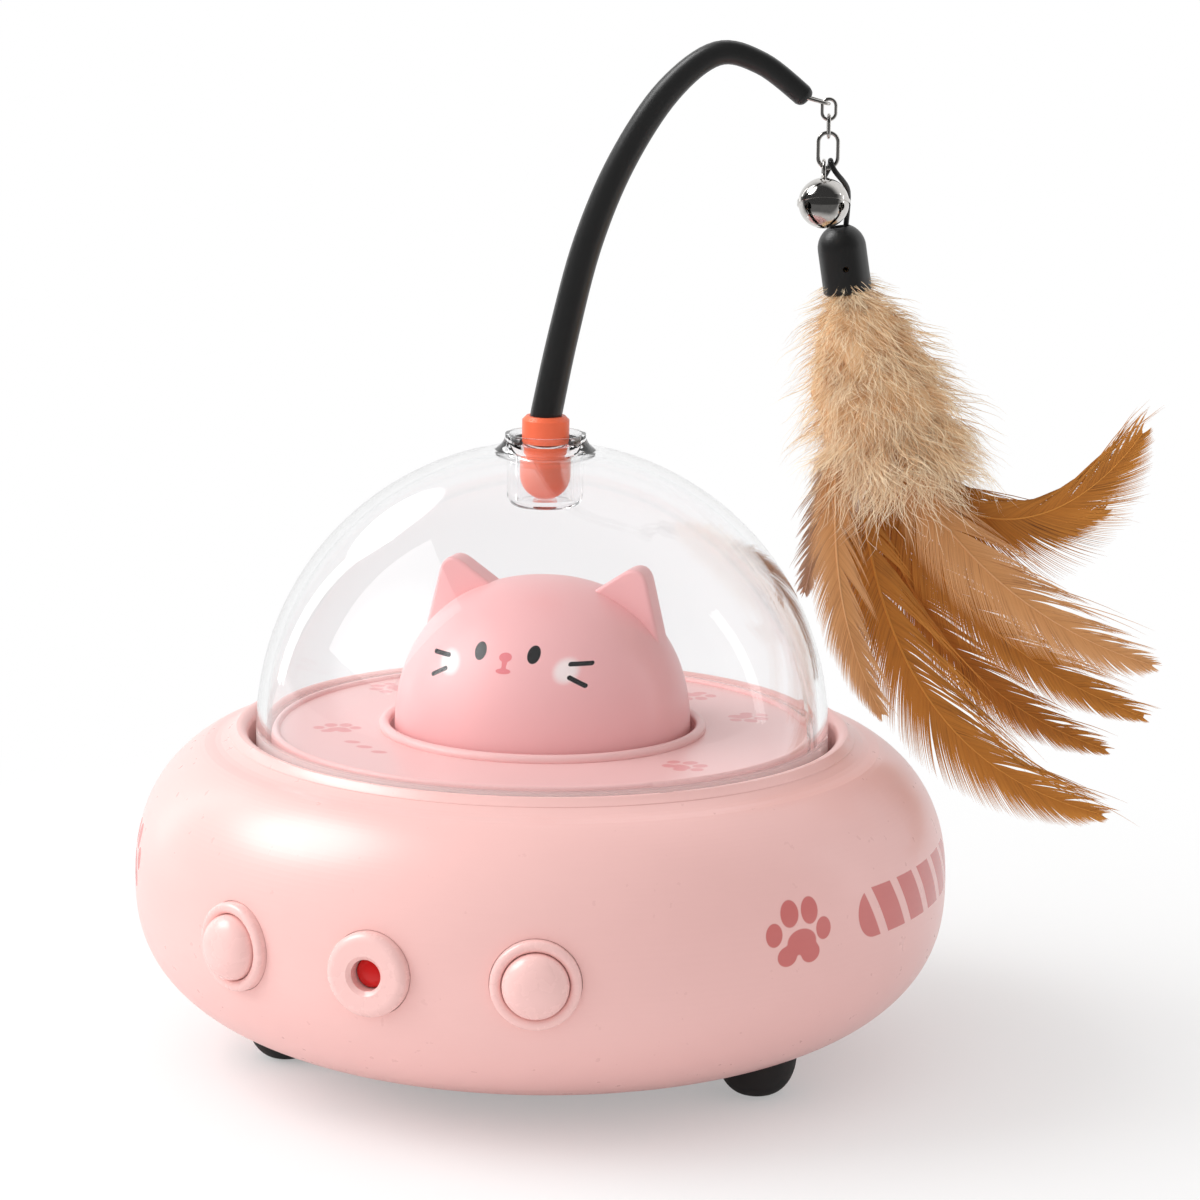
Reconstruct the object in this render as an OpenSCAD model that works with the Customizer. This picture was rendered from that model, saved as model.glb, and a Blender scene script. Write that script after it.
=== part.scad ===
// Cat saucer toy: a pink saucer on three feet, a cat head under a clear turning dome,
// and an arched wand in the dome's top that carries a chain, a bell and a feather lure.
// Frame: millimetres, origin on the floor under the saucer's axis, +Z up, front (light window) to -Y.

/* [Saucer body] */
// Outer diameter at the widest line
body_d = 165; // [158:1:172]
// Height of the underside above the floor
ground_gap = 4.4; // [3.6:0.1:5.4]
// Depth of the rounded belly below the widest line
belly_h = 33.6; // [32:0.2:36]
// Height of the rounded shoulder above the widest line
crown_h = 31.6; // [30:0.2:34]
// Wall of the moulded shell
wall = 2.4; // [2:0.1:2.8]
// Radius of the bead round the open top
bead_r = 1.9; // [1.6:0.1:2.2]
// Diameter of a rubber foot
foot_d = 16; // [14.5:0.5:17]
// How far a foot's axis stands in from the widest line
foot_inset = 30.5; // [29.5:0.5:32]

/* [Dome] */
// Outer diameter of the clear dome
dome_d = 116; // [112:1:118]
// Wall of the clear dome
dome_wall = 2; // [1.6:0.1:2.4]
// Running gap between the dome and the body's rim
rim_gap = 1.6; // [1.2:0.1:2]
// Depth of the dome's skirt below the deck
skirt_h = 10.2; // [9:0.2:12]
// Depth of the cup below the top of the dome
cup_depth = 12.8; // [11:0.2:14]

/* [Deck and cat head] */
// Gap between the deck's edge and the dome's inside
deck_gap = 1.1; // [0.8:0.1:1.5]
// Width of the cat head
head_d = 60; // [56:0.5:62]
// Height of the cat head above the deck
head_h = 30.6; // [28:0.2:32]
// Gap round the cat head
head_gap = 1; // [0.6:0.1:1.4]
// How far the ear tips stand above the crown of the head
ear_rise = 3.4; // [2:0.2:6]
// Turn of the face from straight ahead
head_turn = 5.5; // [-20:0.5:20]

/* [Controls] */
// Angle between the light window and each button
control_step = 22.5; // [20:0.5:26]
// Diameter of a button cap
button_d = 12.6; // [11.6:0.2:13]
// Height of a button's crown
button_rise = 3.4; // [2.6:0.1:4]
// Outer diameter of a button bezel
bezel_d = 17.5; // [17:0.1:18.6]
// Press depth of a button
button_travel = 1; // [0.6:0.1:1.2]
// Outer diameter of the light window's bezel
laser_d = 16.6; // [16:0.2:17.6]
// Diameter of the light window's hole
beam_d = 6.2; // [5.6:0.2:7]

/* [Wand] */
// Heading of the wand from the right-hand side
wand_heading = 23; // [0:1:359]
// Reach of the wand's tip from the axis
wand_reach = 51; // [48:0.5:56]
// Rise of the wand's arch above its plug
wand_rise = 73; // [66:0.5:80]
// Diameter of the rod at its foot
wand_base_d = 6.4; // [5.6:0.1:7]
// Diameter of the rod at its tip
wand_tip_d = 4.8; // [4.4:0.1:5.6]
// Diameter of the silicone plug
plug_d = 10.1; // [9.4:0.1:10.6]

/* [Chain and bell] */
// Wire of the tip eye and the upper links
wire_d = 0.7; // [0.6:0.05:0.8]
// Diameter of the bell
bell_d = 10.1; // [9:0.1:10.6]
// Wall of the bell
bell_wall = 0.5; // [0.4:0.05:0.6]

/* [Lure] */
// Diameter of the black cap
cap_d = 9.8; // [9:0.1:10.6]
// Height of the black cap
cap_h = 14; // [12.5:0.1:15]
// Lean of the lure from upright
lure_lean = 9; // [6:0.5:12]
// Length of the down tuft below the cap
down_l = 37; // [34:0.5:40]
// Half width of the down tuft
down_r = 19; // [16:0.5:20]
// Length of the feathers against the photographed ones
feather_scale = 1; // [0.9:0.01:1.04]

/* [Drive] */
// Size of the gear teeth
gear_module = 1; // [0.9:0.05:1.1]
// Teeth of the drive pinion
pinion_teeth = 16; // [16:4:20]
// Width of the gear teeth
gear_face = 6; // [5:0.2:7]

/* [Clearances] */
// Running clearance round the track and in the cup
run_gap = 0.3; // [0.25:0.01:0.4]
// Clearance round a button cap
cap_gap = 0.2; // [0.15:0.01:0.3]
// Clearance of a shaft in its bearing
shaft_gap = 0.05; // [0.03:0.01:0.09]
// Backlash of the teeth
backlash = 0.16; // [0.12:0.01:0.24]
// Slack where two chain links hook together
hook_gap = 0.25; // [0.2:0.01:0.35]

/* [Hidden] */
$fn = 96;

body_r = body_d / 2;
equator_z = ground_gap + belly_h;
crown_r = 47;
crown_n = 2.37;
belly_r = 25;
belly_n = 2.45;
dome_r = dome_d / 2;
rim_r = dome_r + rim_gap;
rim_z = crown_z(rim_r + 2 * bead_r) + 1.3;
deck_z = rim_z - 0.3;
deck_r = dome_r - dome_wall - deck_gap;
deck_t = 2.2;
skirt_z = deck_z - skirt_h;
lip_r = 8.1;
flare_r = 3.4;
lip_z = deck_z + sqrt(dome_r * dome_r - pow(lip_r + flare_r, 2)) + flare_r;
cup_r = plug_d / 2 + run_gap;
cup_out = cup_r + 2.3;
cup_z = deck_z + dome_r - cup_depth;
cup_floor = 1.8;
clip_t = 1.7;
clip_r = lip_r - 0.8;
clip_w = 1.3;
clip_z = lip_z - clip_t - 0.4;
clip_mouth = plug_d - 0.5;
plug_z = cup_z + cup_floor;
plug_rise = 3.6;
plug_top = lip_z + plug_rise;
head_r = head_d / 2;
head_hole = head_r + head_gap;
head_flange = head_hole + 4.8;
flange_t = 2.2;

plate_z = skirt_z - 9.5;
plate_t = 2.5;
track_z = plate_z - plate_t;
track_r = dome_r - 4.4;
track_w = 2;
track_h = 1.7;
ring_teeth = 4 * floor((dome_r - 10) * 2 / gear_module / 4);
ring_pitch = ring_teeth * gear_module / 2;
pinion_pitch = pinion_teeth * gear_module / 2;
motor_r = ring_pitch - pinion_pitch;
ring_z = plate_z + 0.5 + track_h - 0.2;
gear_top = ring_z + gear_face;
shaft_r = 1.5;

foot_r = body_r - foot_inset;
foot_margin = 1.5;
base_r = foot_r + foot_d / 2 + foot_margin;
floor_z = ground_gap + 3.2;
ledge_z = belly_z(base_r) + wall + 0.3;
seat_t = 2.2;
screw_r = 1.15;
screw_l = 9;
leg_r = 35;
leg_angles = [30, 150, 270];
boss_ring = base_r - 3.5;
boss_angles = [40, 150, 250, 310];
post_r = ring_pitch - 6;
post_angles = [60, 120, 210, 330];
stance = 70;
stance_turn = 10;
foot_angles = [stance_turn + stance - 90, stance_turn - stance - 90, stance_turn + 90];
foot_seat = belly_z(foot_r) + seat_t;
foot_pin = 3;

control_z = equator_z - 0.5;
pad_in = body_r - 5.5;
left_angle = -90 - control_step;
right_angle = -90 + control_step;
lip_in = body_r - 3;
crown_ball = (pow(button_d / 2, 2) + pow(button_rise, 2)) / (2 * button_rise);
crown_edge = asin(button_d / 2 / crown_ball);
window_z = body_r - 1.6;
cap_flange = 1.2;
switch_face = body_r - 10.9;
board_face = switch_face - 3.5;

battery_r = 9.2;
battery_l = 65;
battery_y = 4;
battery_z = floor_z + 0.6 + battery_r;
board_z = floor_z + 5.4;
port_z = equator_z - 8.2;
port_y = body_r - 1.6;

wire_r = wire_d / 2;
hook = wire_d + hook_gap;
lower_r = 0.4;
cord_r = 0.55;
link_x = wand_reach + 4.4;
eye_w = 1.6;
arch = [[0, 0], [0.067, 0.231], [0.157, 0.48], [0.286, 0.703],
    [0.461, 0.896], [0.647, 1], [0.824, 0.975], [1, 0.882]];
tip_z = plug_top + 0.882 * wand_rise;
eye_z = tip_z - 1.2;
upper_w = 2.7;
upper_h = 4.1;
middle_w = 2.7;
middle_h = 4.5;
lower_w = 3.9;
lower_h = 7;
upper_z = eye_z + hook - upper_h;
middle_z = upper_z + hook - middle_h;
lower_z = middle_z + wire_r + lower_r + hook_gap - lower_h;
bow_z = lower_z + lower_w / 2;
cord_x = 0.55;
cord_reach = lower_w / 2 - lower_r - cord_r - hook_gap;
cord_top = [link_x + cord_x, 0, bow_z - sqrt(pow(cord_reach, 2) - cord_x * cord_x)];
cap_top = cord_top + [2.4, 8.5, -13.7];
lean = [sin(lure_lean), 0, -cos(lure_lean)];
cap_roof = 5.2;
cord_end = cap_top + (cap_roof + 0.5) * lean;
bell_r = bell_d / 2;
bell_eye = 1.9;
bell_lean = 24;
bell_x = 0.8;
bell_reach = lower_w / 2 - lower_r - wire_r - hook_gap;
bell_z = bow_z - sqrt(pow(lower_w / 2, 2) - bell_x * bell_x);
bell_hook = bow_z - sqrt(pow(bell_reach, 2) - bell_x * bell_x) - bell_z;
bell_drop = bell_r - 0.1 + 2 * bell_eye - bell_hook;

pink = [0.97, 0.78, 0.76];
rose = [0.98, 0.71, 0.71];
black = [0.06, 0.06, 0.06];
chrome = [0.8, 0.8, 0.82];

// Each feather: bend points and tip from the cap, in reach, depth and height, its blade width,
// and where its quill stands in the bundle, as an angle and a share of the bundle's radius.
plumes = [
    [[8, -1, -60], [40, -4, -74], [62, -5, -41], 14.5, -5, 1],
    [[9, -5, -52], [33, -14, -78], [64, -18, -86], 17, -45, 1],
    [[5, 0, -54], [24, 0, -86], [65, 1, -101], 12.5, 0, 0],
    [[4, -4, -60], [8, -9, -108], [56, -10, -119], 15, -90, 1],
    [[0, -5, -54], [-3, -14, -74], [10, -17, -97], 11, -145, 1],
    [[0, 5, -54], [-2, 15, -68], [-4, 22, -80], 8, 150, 1],
    [[8, 6, -58], [36, 10, -70], [57, 13, -60], 13, 35, 1],
    [[4, 6, -58], [19, 11, -98], [59, 14, -111], 13, 75, 1],
    [[1, 5, -56], [2, 16, -84], [19, 20, -94], 10, 112, 1]];
bundle_r = 1.7;

// Outlines of the saucer
function crown_z(r) = equator_z + crown_h
    * pow(1 - pow((r - crown_r) / (body_r - crown_r), crown_n), 1 / crown_n);
function belly_z(r) = equator_z - belly_h
    * pow(1 - pow(max(0, r - belly_r) / (body_r - belly_r), belly_n), 1 / belly_n);
function crown(t, inset) = [
    crown_r + (body_r - crown_r - inset) * pow(cos(t), 2 / crown_n),
    equator_z + (crown_h - inset) * pow(sin(t), 2 / crown_n)];
function valley(r) = let (d = abs(r - rim_r - 3 * bead_r) / (2 * bead_r))
    d > 1 ? 0 : 0.2 * bead_r * (1 + cos(180 * d));
function belly(t, inset) = [
    belly_r + (body_r - belly_r - inset) * pow(cos(t), 2 / belly_n),
    equator_z - (belly_h - inset) * pow(sin(t), 2 / belly_n)];
function crown_stop(r, inset) =
    acos(pow((r - crown_r) / (body_r - crown_r - inset), crown_n / 2));
function belly_stop(r, inset) =
    acos(pow((r - belly_r) / (body_r - belly_r - inset), belly_n / 2));

// Curves and skins
function unit(v) = v / norm(v);
function bend(p, t) = pow(1 - t, 3) * p[0] + 3 * pow(1 - t, 2) * t * p[1]
    + 3 * (1 - t) * t * t * p[2] + pow(t, 3) * p[3];
function slope(p, t) = pow(1 - t, 2) * (p[1] - p[0]) + 2 * (1 - t) * t * (p[2] - p[1])
    + t * t * (p[3] - p[2]);
function through(p, k, t) = let (
    a = p[max(0, k - 1)], b = p[k], c = p[k + 1], d = p[min(len(p) - 1, k + 2)])
    0.5 * (2 * b + (c - a) * t + (2 * a - 5 * b + 4 * c - d) * t * t
    + (3 * b - a - 3 * c + d) * t * t * t);
function hoop(c, along, side, rx, ry, m) = let (
    s = unit(side - along * (side * along) / (along * along)), n = cross(unit(along), s))
    [for (j = [0:m - 1]) c + rx * cos(360 * j / m) * s + ry * sin(360 * j / m) * n];
function ease(t) = let (x = min(1, max(0, t))) x * x * (3 - 2 * x);

module skin(rings) {
    m = len(rings[0]);
    n = len(rings);
    sides = [for (i = [0:n - 2], j = [0:m - 1]) each [
        [i * m + j, (i + 1) * m + (j + 1) % m, i * m + (j + 1) % m],
        [i * m + j, (i + 1) * m + j, (i + 1) * m + (j + 1) % m]]];
    ends = [for (j = [1:m - 2]) each [
        [0, j, j + 1], [(n - 1) * m, (n - 1) * m + j + 1, (n - 1) * m + j]]];
    polyhedron([for (r = rings) each r], concat(sides, ends));
}

// Involute teeth: rise of the flank, and the outline of a wheel
function roll(r, base) = r <= base ? 0
    : let (a = acos(base / r)) tan(a) * 180 / PI - a;
function flank(r, n, slack) = let (
    pitch = n * gear_module / 2, base = pitch * cos(20))
    90 / n - slack * 90 / PI / pitch + roll(pitch, base) - roll(max(r, base), base);
function wheel(n, low, high, slack, k) = [for (i = [0:n - 1]) each concat(
    [for (j = [0:k - 1]) let (r = low + (high - low) * j / (k - 1),
        a = 360 * i / n - flank(r, n, slack)) r * [cos(a), sin(a)]],
    [for (j = [k - 1:-1:0]) let (r = low + (high - low) * j / (k - 1),
        a = 360 * i / n + flank(r, n, slack)) r * [cos(a), sin(a)]])];

// Places
module radial(a) rotate([0, 0, a]) translate([0, 0, control_z]) rotate([0, 90, 0]) children();
module round_the(angles, r) for (a = angles) rotate([0, 0, a]) translate([r, 0, 0]) children();
module on_wand() rotate([0, 0, wand_heading]) children();
module tube(r, hole, z, h) translate([0, 0, z]) difference() {
    cylinder(r = r, h = h);
    translate([0, 0, -1]) cylinder(r = hole, h = h + 2);
}

// Saucer body
module shell_outline() {
    steps = 32;
    top = crown_stop(rim_r + bead_r, 0);
    low = belly_stop(base_r + 0.4, 0);
    top_in = crown_stop(rim_r + 1, wall);
    low_in = belly_stop(base_r + 0.4, wall);
    difference() {
        union() {
            polygon(concat(
                [for (i = [0:steps]) let (p = crown(top * (1 - i / steps), 0))
                    p - [0, valley(p[0])]],
                [for (i = [1:steps]) belly(low * i / steps, 0)],
                [for (i = [0:steps]) belly(low_in * (1 - i / steps), wall)],
                [for (i = [1:steps]) crown(top_in * i / steps, wall)]));
            translate([rim_r, rim_z - bead_r - 10]) square([bead_r + 0.4, 10]);
            translate([rim_r + bead_r, rim_z - bead_r]) circle(r = bead_r);
            translate([base_r - 7, ledge_z]) square([11, wall]);
        }
        translate([rim_r + bead_r + 4.6, rim_z + 2.6]) circle(r = 4.9);
    }
}

module body_shell() color(pink) difference() {
    union() {
        rotate_extrude() shell_outline();
        for (a = [left_angle, right_angle])
            radial(a) translate([0, 0, pad_in]) cylinder(d = bezel_d + 5, h = 2.4);
        radial(-90) translate([0, 0, pad_in]) cylinder(d = laser_d + 5, h = 2.4);
        round_the(boss_angles, boss_ring) translate([0, 0, ledge_z]) cylinder(r = 3, h = 11);
        translate([-8, port_y - 11, port_z - 6]) cube([16, 9, 3]);
    }
    for (a = [left_angle, right_angle])
        radial(a) translate([0, 0, pad_in - 1]) cylinder(d = bezel_d + 0.2, h = 20);
    radial(-90) translate([0, 0, pad_in - 1]) cylinder(d = laser_d + 0.2, h = 20);
    round_the(boss_angles, boss_ring) translate([0, 0, ledge_z - 1])
        cylinder(r = screw_r + 0.05, h = 10);
    translate([0, port_y + 4, port_z]) port_slot(9.4, 3.7, 12);
}

module port_slot(w, h, l) rotate([90, 0, 0]) linear_extrude(height = l) union() {
    square([w - h, h], center = true);
    for (s = [-1, 1]) translate([s * (w - h) / 2, 0]) circle(d = h);
}

module base_plate() color(pink) difference() {
    steps = 14;
    low = belly_stop(base_r, 0);
    union() {
        rotate_extrude() polygon(concat(
            [[0, ground_gap]],
            [for (i = [0:steps]) belly(90 - (90 - low) * i / steps, 0)],
            [[base_r, ledge_z], [base_r - 7.5, ledge_z]],
            [for (i = [0:8]) let (r = (base_r - 8.5) * (1 - i / 16))
                [r, max(floor_z, belly_z(r) + wall)]],
            [[0, floor_z]]));
        intersection() {
            round_the(foot_angles, foot_r) translate([0, 0, foot_seat - 0.8])
                cylinder(d = foot_d + 2.4, h = foot_pin + 0.8);
            rotate_extrude() polygon(concat([[0, equator_z]],
                [for (t = [0:4:88]) belly(t, 0.3)], [[0, ground_gap + 0.3]]));
        }
        for (x = [-24, 24], y = [-27, -11]) translate([x, y, floor_z - 0.5]) {
            cylinder(r = 2.2, h = board_z - floor_z + 0.5);
            cylinder(r = 0.9, h = board_z - floor_z + 2.9);
        }
        for (x = [-20, 20]) translate([x - 1.5, battery_y - 11, floor_z - 0.5])
            cube([3, 22, battery_r + 0.5]);
    }
    translate([-battery_l / 2 - 2, battery_y, battery_z]) rotate([0, 90, 0])
        cylinder(r = battery_r + 0.1, h = battery_l + 4);
    for (x = [[leg_angles, leg_r], [boss_angles, boss_ring]]) round_the(x[0], x[1]) {
        translate([0, 0, ground_gap - 2]) cylinder(r = 2.6, h = belly_z(x[1]) + seat_t - ground_gap + 2);
        cylinder(r = screw_r + 0.25, h = 30);
    }
    round_the(foot_angles, foot_r) {
        translate([0, 0, foot_seat - 12]) cylinder(d = foot_d + 0.2, h = 12);
        translate([0, 0, foot_seat - 1]) cylinder(r = 2.6, h = 6);
    }
}

module screw(head_r, head_h, r, l) {
    translate([0, 0, -head_h]) cylinder(r = head_r, h = head_h);
    cylinder(r = r, h = l);
}

module base_screws() color(chrome) for (x = [[leg_angles, leg_r], [boss_angles, boss_ring]])
    round_the(x[0], x[1]) translate([0, 0, belly_z(x[1]) + seat_t]) difference() {
        screw(2.35, 1.1, screw_r, screw_l);
        for (a = [0, 90]) rotate([0, 0, a]) translate([-1.4, -0.25, -1.6]) cube([2.8, 0.5, 1.1]);
    }

module foot(a) color(black) rotate([0, 0, a]) translate([foot_r, 0, 0]) rotate_extrude() polygon(
    concat([[0, 0], [foot_d * 0.26, 0]],
        [for (t = [10:10:90]) [foot_d * (0.26 + 0.24 * sin(t)), foot_seat * 0.62 * (1 - cos(t))]],
        [[foot_d / 2, foot_seat], [2.5, foot_seat], [2.5, foot_seat + foot_pin],
        [0, foot_seat + foot_pin]]));

module front_left_foot() foot(foot_angles[1]);
module front_right_foot() foot(foot_angles[0]);
module rear_foot() foot(foot_angles[2]);

// Inner frame with the dome's track
module chassis() color([0.9, 0.9, 0.88]) difference() {
    union() {
        tube(track_r + track_w / 2 + 2.6, 14, plate_z - plate_t, plate_t);
        tube(track_r + track_w / 2, track_r - track_w / 2, plate_z - 0.2, track_h + 0.2);
        tube(head_flange - 0.6, head_flange - 2.8, plate_z - 0.2,
            deck_z - deck_t - flange_t - plate_z + 0.2);
        round_the(leg_angles, leg_r) translate([0, 0, floor_z])
            cylinder(r = 3.5, h = plate_z - plate_t - floor_z + 0.2);
    }
    translate([0, motor_r, plate_z]) cylinder(r = pinion_pitch + 2.5, h = 40);
    translate([0, motor_r, plate_z - 10]) cylinder(r = 4, h = 20);
    for (x = [-8, 8]) translate([x, motor_r, plate_z - 10]) cylinder(r = 1.1, h = 20);
    round_the(leg_angles, leg_r) translate([0, 0, floor_z - 1])
        cylinder(r = screw_r + 0.05, h = screw_l + 2);
    round_the(post_angles, post_r) translate([0, 0, plate_z - 10])
        cylinder(r = screw_r + 0.25, h = 20);
}

// Deck and cat head
module deck() color(rose) difference() {
    union() {
        rotate_extrude() union() {
            translate([head_hole, deck_z - deck_t]) square([deck_r - head_hole, deck_t]);
            translate([head_hole + 1.1, deck_z + 0.5]) circle(r = 1.1);
            translate([deck_r - 0.9, deck_z]) circle(r = 0.8);
            translate([deck_r - 2, skirt_z + 3.6])
                square([2, deck_z - deck_t - skirt_z - 3.4]);
        }
        round_the(post_angles, post_r) translate([0, 0, plate_z])
            cylinder(r = 3.2, h = deck_z - deck_t - plate_z + 0.2);
    }
    round_the(post_angles, post_r) translate([0, 0, plate_z - 1])
        cylinder(r = screw_r + 0.05, h = 12);
}

module deck_screws() color(chrome) round_the(post_angles, post_r)
    translate([0, 0, plate_z - plate_t]) screw(2.35, 1.3, screw_r, 10);

function head_outline(inset) = [for (t = [0:4:88])
    [(head_r - inset) * pow(cos(t), 2 / 2.22), deck_z + (head_h - inset) * pow(sin(t), 2 / 2.22)]];

module cat_head() color(rose) rotate([0, 0, head_turn]) {
    low = deck_z - deck_t - flange_t;
    difference() {
        union() {
            rotate_extrude() union() {
                polygon(concat([[0, low], [head_r, low]], head_outline(0), [[0, deck_z + head_h]]));
                translate([0, low]) square([head_flange, flange_t]);
            }
            for (s = [-1, 1]) ear(s);
        }
        rotate_extrude() polygon(concat([[0, low - 1], [head_r - 2, low - 1]],
            head_outline(2), [[0, deck_z + head_h - 2]]));
    }
}

module ear(s) {
    tip = [s * 0.6 * head_r, 1, deck_z + head_h + ear_rise - 1.6];
    out = [s * 0.8 * head_r, 0.5, deck_z + 0.62 * head_h];
    inn = [s * 0.33 * head_r, 0.5, deck_z + 0.9 * head_h];
    hull() {
        translate(tip) sphere(r = 1.7, $fn = 20);
        translate(out) sphere(r = 2.4, $fn = 20);
        translate(inn) sphere(r = 2.2, $fn = 20);
        translate([s * 0.56 * head_r, 5, deck_z + 0.74 * head_h]) sphere(r = 2.2, $fn = 20);
    }
}

// Front buttons and light window
module bezel() color(pink) difference() {
    union() {
        translate([0, 0, pad_in]) cylinder(d = bezel_d, h = body_r - pad_in + 0.4);
        translate([0, 0, pad_in - 1.6]) cylinder(d = bezel_d + 4, h = 1.6);
        translate([0, 0, body_r + 0.4]) rotate_extrude()
            translate([(bezel_d + button_d) / 4 + cap_gap / 2, 0])
            circle(r = (bezel_d - button_d) / 4 - cap_gap / 2);
        for (x = [-1, 1]) translate([x * (bezel_d / 2 - 0.4), 0, board_face])
            cylinder(r = 1.6, h = pad_in - board_face);
    }
    translate([0, 0, pad_in - 2]) cylinder(d = button_d + 2 * cap_gap, h = 20);
    translate([0, 0, pad_in - 2]) cylinder(d = button_d + 2.4, h = lip_in - pad_in + 2);
}

module left_bezel() radial(left_angle) bezel();
module right_bezel() radial(right_angle) bezel();

module button_cap() color(pink) {
    rotate_extrude() polygon(concat(
        [[0, switch_face + 1.5], [2, switch_face + 1.5], [2, lip_in - cap_flange],
        [button_d / 2 + 0.8, lip_in - cap_flange], [button_d / 2 + 0.8, lip_in],
        [button_d / 2, lip_in]],
        [for (i = [0:14]) let (t = crown_edge * (1 - i / 14)) [crown_ball * sin(t),
            body_r + 0.2 + crown_ball * (cos(t) - cos(crown_edge))]]));
}

module left_button_cap() radial(left_angle) button_cap();
module right_button_cap() radial(right_angle) button_cap();

module plunger() color(black) translate([0, 0, switch_face - 0.6]) cylinder(r = 1.7, h = 2.1);
module left_plunger() radial(left_angle) plunger();
module right_plunger() radial(right_angle) plunger();

module tact_switch() color([0.2, 0.2, 0.2]) difference() {
    translate([-3, -3, board_face]) cube([6, 6, switch_face - board_face]);
    translate([0, 0, switch_face - 0.8 - button_travel])
        cylinder(r = 1.7 + shaft_gap, h = 6);
}

module left_switch() radial(left_angle) tact_switch();
module right_switch() radial(right_angle) tact_switch();

module switch_board() color([0.1, 0.4, 0.2])
    translate([-bezel_d / 2 - 2, -5, board_face - 1.6]) cube([bezel_d + 4, 10, 1.6]);
module left_switch_board() radial(left_angle) switch_board();
module right_switch_board() radial(right_angle) switch_board();

module laser_bezel() color(pink) radial(-90) difference() {
    union() {
        translate([0, 0, pad_in]) cylinder(d = laser_d, h = body_r - pad_in + 0.6);
        translate([0, 0, pad_in - 1.6]) cylinder(d = laser_d + 4, h = 1.6);
        translate([0, 0, body_r + 0.6]) cylinder(d = laser_d - 3.6, h = 1.8);
        translate([0, 0, body_r + 0.6]) rotate_extrude()
            translate([laser_d / 2 - 1.8, 0]) circle(r = 1.8);
    }
    translate([0, 0, pad_in - 2]) cylinder(d = beam_d, h = 30);
    translate([0, 0, body_r + 1.6]) cylinder(d1 = beam_d, d2 = beam_d + 2, h = 1);
    translate([0, 0, pad_in - 2]) cylinder(d = beam_d + 3, h = window_z - pad_in + 2);
}

module laser_barrel() color(black) radial(-90) difference() {
    translate([0, 0, body_r - 16]) cylinder(d = beam_d + 2.8, h = window_z - body_r + 16);
    translate([0, 0, window_z - 4]) cylinder(d = beam_d - 3, h = 5);
}

module laser_lens() color([0.8, 0.05, 0.05]) radial(-90) translate([0, 0, window_z])
    rotate_extrude() polygon(concat([[0, 0], [beam_d / 2 - 0.15, 0]],
        [for (t = [0:10:90]) [(beam_d / 2 - 0.15) * cos(t), 0.7 + 0.9 * sin(t)]]));

// Power, boards and charging port
module battery() color([0.2, 0.35, 0.6]) {
    translate([-battery_l / 2, battery_y, battery_z]) rotate([0, 90, 0])
        cylinder(r = battery_r, h = battery_l - 1.2);
    translate([battery_l / 2 - 1.2, battery_y, battery_z]) rotate([0, 90, 0])
        cylinder(r = 3.2, h = 1.2);
}

module main_board() color([0.1, 0.4, 0.2]) difference() {
    translate([-28, -30, board_z]) cube([56, 22, 1.6]);
    for (x = [-24, 24], y = [-27, -11]) translate([x, y, board_z - 1]) cylinder(r = 0.95, h = 4);
}

module board_parts() color(black) translate([0, 0, board_z + 1.6]) {
    translate([-3.5, -22, 0]) cube([7, 7, 1.2]);
    for (x = [-19, -11, 9, 17]) translate([x, -28, 0]) cube([6, 4, 5]);
    translate([13, -14, 0]) cylinder(r = 2.5, h = 7);
    translate([-16, -14, 0]) cylinder(r = 2.5, h = 7);
}

module charge_board() color([0.1, 0.4, 0.2])
    translate([-7, port_y - 11, port_z - 3]) cube([14, 7.4, 1.3]);

module charge_socket() color(chrome) {
    difference() {
        translate([0, port_y, port_z]) port_slot(8.94, 3.26, 7.3);
        translate([0, port_y + 1, port_z]) port_slot(8.34, 2.6, 7.3);
    }
    translate([-3.3, port_y - 6.8, port_z - 0.35]) cube([6.6, 5.8, 0.7]);
    for (x = [-1, 1]) translate([x * 3 - 0.6, port_y - 6, port_z - 1.7]) cube([1.2, 3, 0.3]);
}

// Drive of the turntable
module spin_motor() color([0.75, 0.75, 0.78]) translate([0, motor_r, 0]) difference() {
    union() {
        translate([-11, -7, track_z - 2.6]) cube([22, 14, 2.6]);
        translate([0, 0, track_z - 22]) cylinder(r = 8, h = 20);
        translate([0, 0, track_z - 23.5]) cylinder(r = 2.5, h = 2);
    }
    translate([0, 0, track_z - 8]) cylinder(r = shaft_r + shaft_gap, h = 20);
    for (x = [-8, 8]) translate([x, 0, track_z - 5]) cylinder(r = 0.9, h = 10);
}

module motor_screws() color(chrome) for (x = [-8, 8]) translate([x, motor_r, plate_z])
    rotate([180, 0, 0]) screw(1.8, 1.2, 0.85, plate_t + 2);

module motor_shaft() color(chrome) translate([0, motor_r, track_z - 7.4])
    cylinder(r = shaft_r, h = gear_top - track_z + 7);

module drive_pinion() color([0.95, 0.95, 0.9]) translate([0, motor_r, 0]) difference() {
    translate([0, 0, ring_z + 0.3]) linear_extrude(height = gear_face - 0.6)
        polygon(wheel(pinion_teeth, pinion_pitch - 0.8 * gear_module,
            pinion_pitch + 0.9 * gear_module, backlash, 5));
    translate([0, 0, ring_z - 1]) cylinder(r = shaft_r + 0.02, h = gear_face + 4);
}

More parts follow.
